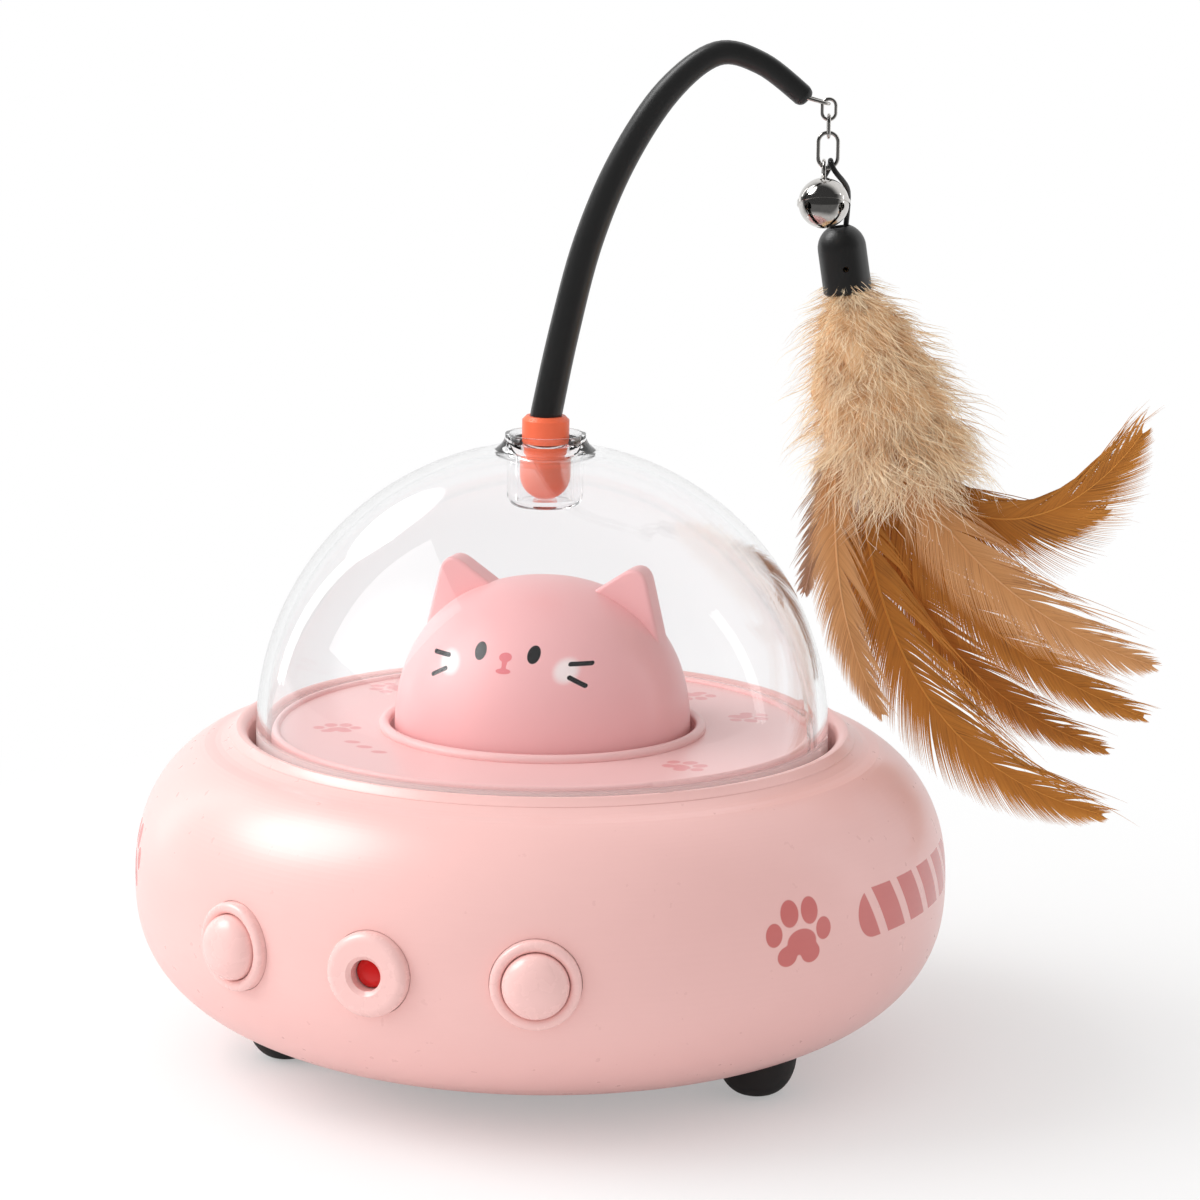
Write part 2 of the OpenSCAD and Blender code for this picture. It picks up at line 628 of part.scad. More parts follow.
module ring_gear() color([0.95, 0.95, 0.9]) difference() {
    union() {
        translate([0, 0, ring_z]) linear_extrude(height = gear_face) difference() {
            circle(r = dome_r - 1);
            polygon(wheel(ring_teeth, ring_pitch - 0.5 * gear_module,
                ring_pitch + 1.2 * gear_module, -backlash, 3));
        }
        tube(dome_r, ring_pitch + 4, gear_top - 0.2, skirt_z - gear_top + 0.2);
        tube(dome_r - dome_wall - 0.2, dome_r - dome_wall - 2.4, skirt_z - 0.2, 2.8);
    }
    tube(track_r + track_w / 2 + run_gap, track_r - track_w / 2 - run_gap, ring_z - 1,
        plate_z + track_h + run_gap - ring_z + 1);
}

// Clear dome with its cup
module dome_outline() {
    difference() {
        union() {
            translate([0, deck_z]) intersection() {
                circle(r = dome_r);
                square([dome_r, dome_r]);
            }
            translate([0, skirt_z]) square([dome_r, skirt_h]);
            translate([0, lip_z - flare_r - 1]) difference() {
                square([lip_r + flare_r, flare_r + 1]);
                translate([lip_r + flare_r, flare_r + 1]) circle(r = flare_r);
            }
        }
        difference() {
            union() {
                translate([0, deck_z]) intersection() {
                    circle(r = dome_r - dome_wall);
                    square([dome_r, dome_r]);
                }
                translate([0, skirt_z - 1]) square([dome_r - dome_wall, skirt_h + 1]);
            }
            translate([0, cup_z]) square([cup_out - 2.5, 30]);
            translate([0, cup_z + 2.5]) square([cup_out, 30]);
            translate([cup_out - 2.5, cup_z + 2.5]) circle(r = 2.5);
        }
        translate([0, plug_z]) square([cup_r, 40]);
        translate([0, clip_z]) square([clip_r, 40]);
    }
}

module dome() color([0.85, 0.93, 0.97, 0.35]) rotate_extrude() dome_outline();

module socket_clip() color(black) translate([0, 0, clip_z]) difference() {
    cylinder(r = clip_r - 0.1, h = clip_t);
    translate([0, 0, -1]) cylinder(r = clip_r - 0.1 - clip_w, h = clip_t + 2);
    rotate([0, 0, wand_heading - 90]) translate([0, -clip_mouth / 2, -1])
        cube([12, clip_mouth, clip_t + 2]);
}

// Wand with its plug and wire eye
module wand_plug() color([0.95, 0.35, 0.22]) difference() {
    r = plug_d / 2;
    rotate_extrude() polygon(concat(
        [[0, plug_z]],
        [for (t = [20:7:90]) [r * sin(t), plug_z + r * (cos(20) - cos(t))]],
        [[r, plug_z + r * 1.5], [r - 0.3, plug_z + r * 1.5 + 0.3], [r - 0.3, plug_top - 0.8],
        [r - 1.1, plug_top], [0, plug_top]]));
    translate([0, 0, plug_top - 9]) cylinder(d = wand_base_d - 1.3, h = 12);
}

function arch_at(k, t) = let (p = through(arch, k, t))
    [p[0] * wand_reach, 0, plug_top + p[1] * wand_rise];
arch_line = concat([for (k = [0:6], t = [0, 0.25, 0.5, 0.75]) arch_at(k, t)], [arch_at(6, 1)]);
arch_last = len(arch_line) - 1;
tip_way = unit(arch_line[arch_last] - arch_line[arch_last - 1]);

module wand_rod() color(black) on_wand() {
    skin([for (i = [0:arch_last]) let (
        way = i == 0 ? [0, 0, 1] : i == arch_last ? tip_way
            : arch_line[i + 1] - arch_line[i - 1],
        r = (wand_base_d + (wand_tip_d - wand_base_d) * i / arch_last) / 2)
        hoop(arch_line[i], way, [0, 1, 0], r, r, 20)]);
    translate([0, 0, plug_top - 8.9]) cylinder(d = wand_base_d - 1.4, h = 9.4);
}

module tip_eye() color(chrome) on_wand() {
    tip = arch_line[arch_last];
    far = [link_x, 0, eye_z] - tip;
    line = [for (a = [-90:15:90]) tip + far * pow(cos(a), 0.8) + [0, eye_w * sin(a), 0]];
    n = len(line) - 1;
    skin([for (i = [0:n]) let (way = i == 0 ? tip_way : i == n ? -tip_way
        : line[i + 1] - line[i - 1]) hoop(line[i], way, [0, 0.02, 1], wire_r, wire_r, 10)]);
}

// Chain
module link(w, h, r) {
    for (s = [-1, 1]) {
        translate([0, 0, s * (h - w) / 2]) rotate([s * 90, 0, 0])
            rotate_extrude(angle = 180) translate([w / 2, 0]) circle(r = r, $fn = 24);
        translate([s * w / 2, 0, -(h - w) / 2]) cylinder(r = r, h = h - w, $fn = 24);
    }
}

module upper_link() color(chrome) on_wand()
    translate([link_x, 0, upper_z + upper_h / 2]) link(upper_w, upper_h, wire_r);
module middle_link() color(chrome) on_wand()
    translate([link_x, 0, middle_z + middle_h / 2]) rotate([0, 0, 90])
    link(middle_w, middle_h, wire_r);
module lower_link() color(chrome) on_wand()
    translate([link_x, 0, lower_z + lower_h / 2]) link(lower_w, lower_h, lower_r);

// Bell
module bell_place() on_wand() translate([link_x - bell_x, 0, bell_z]) rotate([-bell_lean, 0, 0])
    translate([0, 0, -bell_drop]) children();

module bell_upper() color(chrome) bell_place() {
    difference() {
        union() {
            sphere(r = bell_r);
            cylinder(r = bell_r + 0.25, h = 0.4);
        }
        sphere(r = bell_r - bell_wall);
        translate([0, 0, -20]) cube(40, center = true);
    }
    translate([0, 0, bell_r - 0.1 + bell_eye]) rotate([0, 90, 0]) rotate_extrude()
        translate([bell_eye, 0]) circle(r = wire_r, $fn = 24);
}

module bell_lower() color(chrome) bell_place() difference() {
    union() {
        sphere(r = bell_r);
        translate([0, 0, -0.4]) cylinder(r = bell_r + 0.25, h = 0.4);
    }
    sphere(r = bell_r - bell_wall);
    translate([0, 0, 20]) cube(40, center = true);
    translate([-bell_r * 0.8, -0.5, -bell_r - 1]) cube([bell_r * 1.6, 1, bell_r]);
    for (s = [-1, 1]) translate([s * bell_r * 0.8, 0, -bell_r - 1]) cylinder(r = 1, h = bell_r);
}

module bell_pellet() color(chrome) bell_place()
    translate([0, 0, -bell_r + bell_wall + 1.7]) sphere(r = 1.6);

// Lure
module lure_place() on_wand() translate(cap_top) rotate([0, -lure_lean, 0]) children();

module lure_cord() color(black) {
    neck = 0.72;
    n = 44;
    line = [for (i = [0:n]) let (a = 360 * i / n - 180, s = (1 - cos(a)) / 2,
        turn = 90 * (1 - ease(s / 0.45)),
        w = 4.2 * sin(a) * max(0, 0.45 + 0.55 * cos(a)) + 0.85 * sign(a) * ease(s),
        c = s < neck ? cord_top + (cap_top - cord_top) * s / neck
            : cap_top + (cord_end - cap_top) * (s - neck) / (1 - neck))
        c + w * [cos(turn), -sin(turn), 0]];
    on_wand() skin([for (i = [0:n]) let (
        way = i == 0 ? -lean : i == n ? lean : line[i + 1] - line[i - 1])
        hoop(line[i], way, [0, 1, 0] + 0.3 * (i / n - 0.5) * [1, 0, 0], cord_r, cord_r, 8)]);
    lure_place() translate([0, 0, -cap_roof - 1.8]) cylinder(r = 3, h = 1.8);
}

module lure_cap() color(black) lure_place() difference() {
    r = cap_d / 2;
    rotate_extrude() polygon(concat([[0, -cap_h], [r - 0.4, -cap_h], [r, -cap_h + 0.4]],
        [for (t = [0:6:90]) [r * cos(t), -r + r * sin(t)]]));
    translate([0, 0, -20]) cylinder(r = 2.2, h = 30);
    translate([0, 0, -30]) cylinder(r = r - 0.9, h = 30 - cap_roof);
    translate([0, 0, -cap_h * 0.62]) rotate([90, 0, 0]) cylinder(r = 0.6, h = 20);
}

function puff(a, z) = 1 + 0.09 * sin(3 * a + 4 * z) + 0.06 * sin(7 * a - 9 * z)
    + 0.04 * sin(11 * a + 6 * z);

module down_skirt() color([0.84, 0.68, 0.5]) lure_place() {
    neck = cap_d / 2 - 1.1;
    m = 30;
    out = [[-0.14, neck / down_r], [0.02, neck / down_r], [0.05, 0.36], [0.14, 0.58],
        [0.29, 0.77], [0.45, 0.89], [0.64, 1], [0.82, 1], [1, 0.92]];
    inn = [[0.98, 0.79], [0.8, 0.68], [0.6, 0.52], [0.38, 0.34], [0.14, 0.17]];
    rings = concat([for (p = out) [p[0], p[1], p[0] > 0.04 ? 1 : 0]], [for (p = inn) [p[0], p[1], 0]]);
    skin([for (p = rings) [for (j = [0:m - 1]) let (a = 360 * j / m, z = p[0] * down_l,
        r = p[1] * down_r * (p[2] == 1 ? puff(a, z) : 1),
        sag = p[0] > 0.7 ? 2.4 * sin(5 * a) * (p[0] - 0.7) / 0.3 : 0)
        [r * cos(a), -r * sin(a), -cap_h - z + sag]]]);
}

module feather(k) color([0.62, 0.36, 0.14]) on_wand() translate(cap_top) {
    p = plumes[k];
    root = (cap_h + 0.14 * down_l) * lean + bundle_r * p[5] * [cos(p[4]), sin(p[4]), 0]
        + bundle_r * p[5] * cos(p[4]) * [0, 0, tan(lure_lean)] - [0, 0, 0.1];
    path = [root, feather_scale * p[0], feather_scale * p[1], feather_scale * p[2]];
    n = 15;
    skin([for (i = [0:n]) let (
        t = i / n, c = bend(path, t), way = slope(path, t),
        v = max(0, (t - 0.34) / 0.66),
        w = max(0.42, p[3] / 2 * pow(sin(180 * pow(v, 0.72)), 0.62)) * feather_scale,
        s = unit(cross(way, [0, -1, 0.15])), f = unit(cross(s, way)),
        h = max(0.22, 0.42 * (1 - t)), dip = 0.16 * w * ease(v * 4))
        [c - s * w - f * dip, c - s * w * 0.5 + f * (h * 0.55 - dip * 0.25), c + f * h,
        c + s * w * 0.5 + f * (h * 0.55 - dip * 0.25), c + s * w - f * dip,
        c + s * w * 0.5 - f * (h * 0.55 + dip * 0.25), c - f * h,
        c - s * w * 0.5 - f * (h * 0.55 + dip * 0.25)]]);
}

module feather_1() feather(0);
module feather_2() feather(1);
module feather_3() feather(2);
module feather_4() feather(3);
module feather_5() feather(4);
module feather_6() feather(5);
module feather_7() feather(6);
module feather_8() feather(7);
module feather_9() feather(8);

body_shell();
base_plate();
base_screws();
front_left_foot();
front_right_foot();
rear_foot();
chassis();
deck();
deck_screws();
cat_head();
left_bezel();
right_bezel();
left_switch_board();
right_switch_board();
left_switch();
right_switch();
laser_bezel();
laser_barrel();
laser_lens();
battery();
main_board();
board_parts();
charge_board();
charge_socket();
spin_motor();
motor_screws();
dome();
ring_gear();
socket_clip();
drive_pinion();
motor_shaft();
left_button_cap();
left_plunger();
right_button_cap();
right_plunger();
wand_plug();
wand_rod();
tip_eye();
upper_link();
middle_link();
lower_link();
bell_upper();
bell_lower();
bell_pellet();
lure_cord();
lure_cap();
down_skirt();
feather_1();
feather_2();
feather_3();
feather_4();
feather_5();
feather_6();
feather_7();
feather_8();
feather_9();
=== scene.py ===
"""Looks of a cat saucer toy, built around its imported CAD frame.

The frame's units are metres, its origin is on the floor under the saucer's axis, +Z is up and the
front faces -Y. Sizes are written in millimetres and scaled by MM where a mesh is made.
"""

from __future__ import annotations

import logging
import math
import random
from dataclasses import dataclass, field
from enum import Enum
from typing import Any, Mapping, Sequence

import bpy
from mathutils import Matrix, Vector, noise

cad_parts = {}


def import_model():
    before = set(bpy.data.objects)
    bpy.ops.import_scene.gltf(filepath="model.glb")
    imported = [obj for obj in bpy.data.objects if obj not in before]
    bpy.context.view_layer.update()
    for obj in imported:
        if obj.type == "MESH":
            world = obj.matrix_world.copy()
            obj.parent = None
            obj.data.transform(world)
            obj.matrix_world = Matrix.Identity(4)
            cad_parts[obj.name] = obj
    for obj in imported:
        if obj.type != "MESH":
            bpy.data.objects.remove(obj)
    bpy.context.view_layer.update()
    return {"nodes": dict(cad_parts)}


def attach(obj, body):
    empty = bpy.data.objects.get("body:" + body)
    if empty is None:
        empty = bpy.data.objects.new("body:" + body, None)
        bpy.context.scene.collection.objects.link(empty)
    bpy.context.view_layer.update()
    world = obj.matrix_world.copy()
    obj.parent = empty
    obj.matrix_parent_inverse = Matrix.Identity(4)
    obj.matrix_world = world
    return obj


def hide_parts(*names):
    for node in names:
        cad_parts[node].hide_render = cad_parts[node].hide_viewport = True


log = logging.getLogger("cat_saucer")

MM = 0.001
WELD = 0.001 * MM
UP = Vector((0, 0, 1))
BACK = Vector((0, 1, 0))
Colour = tuple[float, float, float]
Point = tuple[float, float, float]
Outline = Sequence[tuple[float, float]]
Oval = tuple[float, float, float, float]

DECK_Z = 68.353
HEAD_TURN = 5.5


class Body(str, Enum):
    """Bodies of the frame that new pieces ride on."""

    SAUCER = "saucer"
    TURNTABLE = "turntable"
    LEFT_BUTTON = "left_button"
    RIGHT_BUTTON = "right_button"
    WAND = "wand"
    BELL = "bell"
    LURE = "lure"


class Wire:
    """A node's output that takes part in Python expressions."""

    def __init__(self, graph: Graph, socket: bpy.types.NodeSocket) -> None:
        """Keeps the socket and the graph that it belongs to."""
        self.graph = graph
        self.socket = socket

    def __add__(self, other: Operand) -> Wire:
        """Sum of two values."""
        return self.graph.math("ADD", self, other)

    def __radd__(self, other: Operand) -> Wire:
        """Sum of two values, from the right."""
        return self.graph.math("ADD", other, self)

    def __sub__(self, other: Operand) -> Wire:
        """Difference of two values."""
        return self.graph.math("SUBTRACT", self, other)

    def __rsub__(self, other: Operand) -> Wire:
        """Difference of two values, from the right."""
        return self.graph.math("SUBTRACT", other, self)

    def __mul__(self, other: Operand) -> Wire:
        """Product of two values."""
        return self.graph.math("MULTIPLY", self, other)

    def __rmul__(self, other: Operand) -> Wire:
        """Product of two values, from the right."""
        return self.graph.math("MULTIPLY", other, self)

    def __truediv__(self, other: Operand) -> Wire:
        """Quotient of two values."""
        return self.graph.math("DIVIDE", self, other)

    def __lt__(self, other: Operand) -> Wire:
        """1 where this value is the smaller one."""
        return self.graph.math("LESS_THAN", self, other)

    def __gt__(self, other: Operand) -> Wire:
        """1 where this value is the larger one."""
        return self.graph.math("GREATER_THAN", self, other)

    def __abs__(self) -> Wire:
        """Size of the value without its sign."""
        return self.graph.math("ABSOLUTE", self)

    def squared(self) -> Wire:
        """The value times itself."""
        return self * self

    def least(self, other: Operand) -> Wire:
        """The smaller of two values."""
        return self.graph.math("MINIMUM", self, other)

    def most(self, other: Operand) -> Wire:
        """The larger of two values."""
        return self.graph.math("MAXIMUM", self, other)

    def melt(self, other: Operand, softness: float) -> Wire:
        """The smaller of two values, rounded where they meet."""
        return self.graph.math("SMOOTH_MIN", self, other, softness)


Operand = Wire | float


class Graph:
    """A node tree and the one method that makes its nodes."""

    def __init__(self, owner: bpy.types.ID) -> None:
        """Empties the node tree of a material or a world.

        Args:
            owner: The material or world.
        """
        owner.use_nodes = True
        self.tree = owner.node_tree
        self.tree.nodes.clear()

    def node(
        self,
        kind: str,
        settings: Mapping[str, Any] | None = None,
        inputs: Mapping[int | str, Any] | None = None,
        out: int | str = 0,
    ) -> Wire | None:
        """Makes one node.

        Args:
            kind: Type of the node.
            settings: Attributes that are set first; "stops" sets a colour ramp.
            inputs: Value or link of each socket, by its name or number.
            out: The output that is returned.

        Returns:
            The output, or None for a node that has none.
        """
        made = self.tree.nodes.new(kind)
        for key, value in (settings or {}).items():
            if key == "stops":
                self._set_stops(made.color_ramp, value)
            else:
                setattr(made, key, value)
        for key, value in (inputs or {}).items():
            if isinstance(value, Wire):
                self.tree.links.new(value.socket, made.inputs[key])
            else:
                made.inputs[key].default_value = value
        return Wire(self, made.outputs[out]) if len(made.outputs) else None

    @staticmethod
    def _set_stops(ramp: bpy.types.ColorRamp, stops: Sequence[tuple[float, Colour]]) -> None:
        """Gives a ramp its places and colours."""
        while len(ramp.elements) < len(stops):
            ramp.elements.new(1.0)
        for element, (place, colour) in zip(ramp.elements, stops):
            element.position = place
            element.color = (*colour, 1.0)

    def math(self, operation: str, *values: Operand) -> Wire:
        """One Math node on up to three values."""
        return self.node("ShaderNodeMath", {"operation": operation}, dict(enumerate(values)))

    def mix(self, share: Operand, first: Wire | Colour, second: Wire | Colour) -> Wire:
        """Mix of two colours.

        Args:
            share: Share of the second colour.
            first: The first colour.
            second: The second colour.

        Returns:
            The mixed colour.
        """
        ends = [c if isinstance(c, Wire) else (*c, 1.0) for c in (first, second)]
        sockets = {0: share, 6: ends[0], 7: ends[1]}
        return self.node("ShaderNodeMix", {"data_type": "RGBA"}, sockets, 2)

    def fade(self, value: Wire, low: float, high: float) -> Wire:
        """Smooth step from 0 at low to 1 at high."""
        return self.node(
            "ShaderNodeMapRange",
            {"interpolation_type": "SMOOTHSTEP"},
            {"Value": value, "From Min": low, "From Max": high},
        )

    def place(self, turn: float = 0.0) -> Wire:
        """Object coordinates in millimetres, turned back about Z by an angle in radians."""
        raw = self.node("ShaderNodeTexCoord", out="Object")
        steps = {"Vector": raw, "Rotation": (0, 0, -turn), "Scale": (1 / MM,) * 3}
        return self.node("ShaderNodeMapping", {"vector_type": "POINT"}, steps)

    def axes(self, vector: Wire) -> tuple[Wire, Wire, Wire]:
        """The three parts of a vector."""
        split = self.node("ShaderNodeSeparateXYZ", inputs={0: vector})
        owner = split.socket.node
        return tuple(Wire(self, s) for s in owner.outputs)

    def noise(self, vector: Wire, scale: float, detail: float = 2.0, rough: float = 0.5) -> Wire:
        """Noise of a given scale, per millimetre, from 0 to 1."""
        sockets = {"Vector": vector, "Scale": scale, "Detail": detail, "Roughness": rough}
        return self.node("ShaderNodeTexNoise", None, sockets)

    def bump(self, height: Wire, strength: float, depth: float) -> Wire:
        """Normal of a height field, whose depth is in millimetres."""
        sockets = {"Strength": strength, "Distance": depth * MM, "Height": height}
        return self.node("ShaderNodeBump", None, sockets)

    def attribute(self, name: str) -> Wire:
        """A number that the mesh carries at each of its points."""
        return self.node("ShaderNodeAttribute", {"attribute_name": name}, out="Fac")

    def rays(self, *names: str) -> list[Wire]:
        """Outputs of a Light Path node, by their names."""
        sockets = self.node("ShaderNodeLightPath").socket.node.outputs
        return [Wire(self, sockets[name]) for name in names]

    def principled(self, sockets: Mapping[str, Any]) -> Wire:
        """A Principled shader."""
        return self.node("ShaderNodeBsdfPrincipled", None, sockets)

    def blend(self, share: Operand, first: Wire, second: Wire) -> Wire:
        """Mix of two shaders, with the share of the second one."""
        return self.node("ShaderNodeMixShader", None, {0: share, 1: first, 2: second})

    def output(self, shader: Wire, kind: str = "ShaderNodeOutputMaterial") -> None:
        """Ends the tree in a shader."""
        self.node(kind, None, {"Surface": shader})


def oval_field(across: Wire, up: Wire, oval: Oval) -> Wire:
    """Field that is 1 on the edge of an oval and smaller inside.

    Args:
        across: Place across.
        up: Place upwards.
        oval: The oval's middle, across and up, and its half sizes.

    Returns:
        The field.
    """
    x, y, half_x, half_y = oval
    return ((across - x) / half_x).squared() + ((up - y) / half_y).squared()


class Finish:
    """A material, made once and shared by the pieces that have it."""

    name: str

    def material(self) -> bpy.types.Material:
        """The material with this finish's name, made on first use."""
        found = bpy.data.materials.get(self.name)
        if found:
            return found
        made = bpy.data.materials.new(self.name)
        graph = Graph(made)
        graph.output(self.shade(graph))
        return made

    def shade(self, graph: Graph) -> Wire:
        """The shader of the finish.

        Args:
            graph: Node tree of the material.

        Returns:
            The shader's output.
        """
        raise NotImplementedError

    def dress(self, piece: bpy.types.Object) -> None:
        """Puts the material on a piece or a CAD node."""
        made = self.material()
        if piece.material_slots:
            piece.material_slots[0].material = made
        else:
            piece.data.materials.append(made)


@dataclass(frozen=True)
class Moulded(Finish):
    """Moulded plastic or rubber: faint mottle, fine surface grain."""

    name: str
    colour: Colour
    roughness: float = 0.36
    grain: float = 0.004
    mottle: float = 0.04
    coat: float = 0.0
    subsurface: float = 0.0
    scatter: Point = (0.004, 0.002, 0.0015)
    patch_scale: float = 0.05
    streak_scale: float = 0.35
    streak_depth: float = 0.08
    skin_scale: float = 3.5
    skin_strength: float = 0.25

    def tint(self, graph: Graph, place: Wire) -> Wire:
        """Base colour with its slow mottle."""
        deep = tuple(c * (1 - self.mottle) for c in self.colour)
        return graph.mix(graph.noise(place, self.patch_scale), deep, self.colour)

    def shade(self, graph: Graph) -> Wire:
        """The shader of the finish."""
        place = graph.place()
        return self.plastic(graph, place, self.tint(graph, place), 0.0)

    def plastic(self, graph: Graph, place: Wire, colour: Wire, gloss: Operand) -> Wire:
        """Plastic of a given colour.

        Args:
            graph: Node tree of the material.
            place: Coordinates in millimetres.
            colour: Base colour.
            gloss: How much the roughness falls where ink lies on the plastic.

        Returns:
            The shader's output.
        """
        streaks = graph.noise(place, self.streak_scale, 3.0)
        skin = graph.noise(place, self.skin_scale)
        return graph.principled({
            "Base Color": colour,
            "Roughness": (streaks - 0.5) * self.streak_depth + self.roughness - gloss,
            "Coat Weight": self.coat,
            "Coat Roughness": 0.12,
            "Subsurface Weight": self.subsurface,
            "Subsurface Radius": self.scatter,
            "Subsurface Scale": 1.0,
            "Normal": graph.bump(skin, self.skin_strength, self.grain),
        })


@dataclass(frozen=True)
class PawPrint:
    """A paw print: one pad with a notch, and four toes, in millimetres from its middle."""

    toes: tuple[Oval, ...] = (
        (-6.1, 2.6, 1.9, 2.3), (-2.2, 6.2, 2.15, 2.6), (2.7, 6.2, 2.1, 2.6), (5.9, 2.3, 1.9, 2.2))
    lobes: tuple[Oval, ...] = (
        (0.4, 0.5, 3.5, 2.5), (-3.1, -1.9, 2.3, 2.0), (2.5, -1.9, 2.3, 2.0))
    softness: float = 0.9

    def mask(self, graph: Graph, across: Wire, up: Wire, edge: float = 0.12) -> Wire:
        """1 inside the print.

        Args:
            graph: Node tree of the material.
            across: Distance to the right of the print's middle.
            up: Distance above the print's middle.
            edge: Softness of the edge.

        Returns:
            The mask.
        """
        shape = oval_field(across, up, self.lobes[0])
        for lobe in self.lobes[1:]:
            shape = shape.melt(oval_field(across, up, lobe), self.softness)
        for toe in self.toes:
            shape = shape.least(oval_field(across, up, toe))
        return graph.fade(shape, 1 + edge, 1 - edge)


@dataclass(frozen=True)
class PrintedShell(Moulded):
    """Body plastic with a paw print and a striped tail on each flank."""

    ink: Colour = (0.62, 0.15, 0.14)
    girth_r: float = 80.5
    paw: PawPrint = PawPrint()
    paw_angle: float = 60.2
    paw_height: float = 41.2
    tail_angles: tuple[float, float] = (71.5, 108.0)
    tail_heights: tuple[float, float] = (38.9, 48.5)
    stripe_step: float = 6.75
    stripe_share: float = 0.72
    stripe_start: float = 75.0
    stripe_slant: float = 3.4
    band_edge: float = 0.12
    stripe_edge: float = 0.02
    cover: float = 0.94
    gloss: float = 0.05

    def shade(self, graph: Graph) -> Wire:
        """The shader of the finish.

        Args:
            graph: Node tree of the material.

        Returns:
            The shader's output.
        """
        place = graph.place()
        x, y, z = graph.axes(place)
        around = graph.math("ARCTAN2", abs(x), y * -1.0) * (180 / math.pi)
        marks = self._paw(graph, around, z).most(self._tail(graph, around, z))
        colour = graph.mix(marks * self.cover, self.tint(graph, place), self.ink)
        return self.plastic(graph, place, colour, marks * self.gloss)

    def _paw(self, graph: Graph, around: Wire, z: Wire) -> Wire:
        """Mask of the paw print on the flank."""
        across = (around - self.paw_angle) * (math.pi / 180 * self.girth_r)
        return self.paw.mask(graph, across, z - self.paw_height)

    def _tail(self, graph: Graph, around: Wire, z: Wire) -> Wire:
        """Mask of the striped tail: a band with rounded ends, cut by slanted gaps.

        Args:
            graph: Node tree of the material.
            around: Angle round the body, in degrees.
            z: Height, in millimetres.

        Returns:
            The mask.
        """
        low, high = self.tail_heights
        middle = (low + high) / 2
        half = (high - low) / 2
        scale = math.pi / 180 * self.girth_r
        start, end = (a * scale for a in self.tail_angles)
        along = around * scale
        over = (start + half - along).most(along - (end - half)).most(0.0)
        band = graph.math("SQRT", over.squared() + (z - middle).squared())
        inside = graph.fade(band, half + self.band_edge, half - self.band_edge)
        lean = around - self.stripe_start + (z - high) * (self.stripe_slant / (high - low))
        cell = graph.math("FLOORED_MODULO", lean, self.stripe_step) / self.stripe_step
        wide = self.stripe_share / 2
        stripe = graph.fade(abs(cell - wide), wide + self.stripe_edge, wide - self.stripe_edge)
        return inside * stripe


@dataclass(frozen=True)
class PrintedDeck(Moulded):
    """Deck plastic with faint paw prints and a dotted trail."""

    ink: Colour = (0.80, 0.24, 0.25)
    strength: float = 0.75
    scale: float = 0.62
    paw: PawPrint = PawPrint()
    paws: tuple[tuple[float, float, float], ...] = (
        (-36, -21, 25), (38, -21, -30), (34, 26, -115), (-42, 19, 110), (17, 40.5, -150))
    paw_edge: float = 0.2
    dots: tuple[tuple[float, float], ...] = ((-28.5, -29.5), (-24.5, -32.3), (-20, -35))
    dot_half: tuple[float, float] = (1.7, 1.1)

    def shade(self, graph: Graph) -> Wire:
        """The shader of the finish.

        Args:
            graph: Node tree of the material.

        Returns:
            The shader's output.
        """
        place = graph.place()
        x, y, _ = graph.axes(place)
        marks = None
        for px, py, angle in self.paws:
            turn = math.radians(angle)
            right = ((x - px) * math.cos(turn) + (y - py) * math.sin(turn)) / self.scale
            ahead = ((y - py) * math.cos(turn) - (x - px) * math.sin(turn)) / self.scale
            one = self.paw.mask(graph, right, ahead, self.paw_edge)
            marks = one if marks is None else marks.most(one)
        for dot in self.dots:
            marks = marks.most(graph.fade(oval_field(x, y, (*dot, *self.dot_half)), 1.2, 0.8))
        colour = graph.mix(marks * self.strength, self.tint(graph, place), self.ink)
        return self.plastic(graph, place, colour, 0.0)


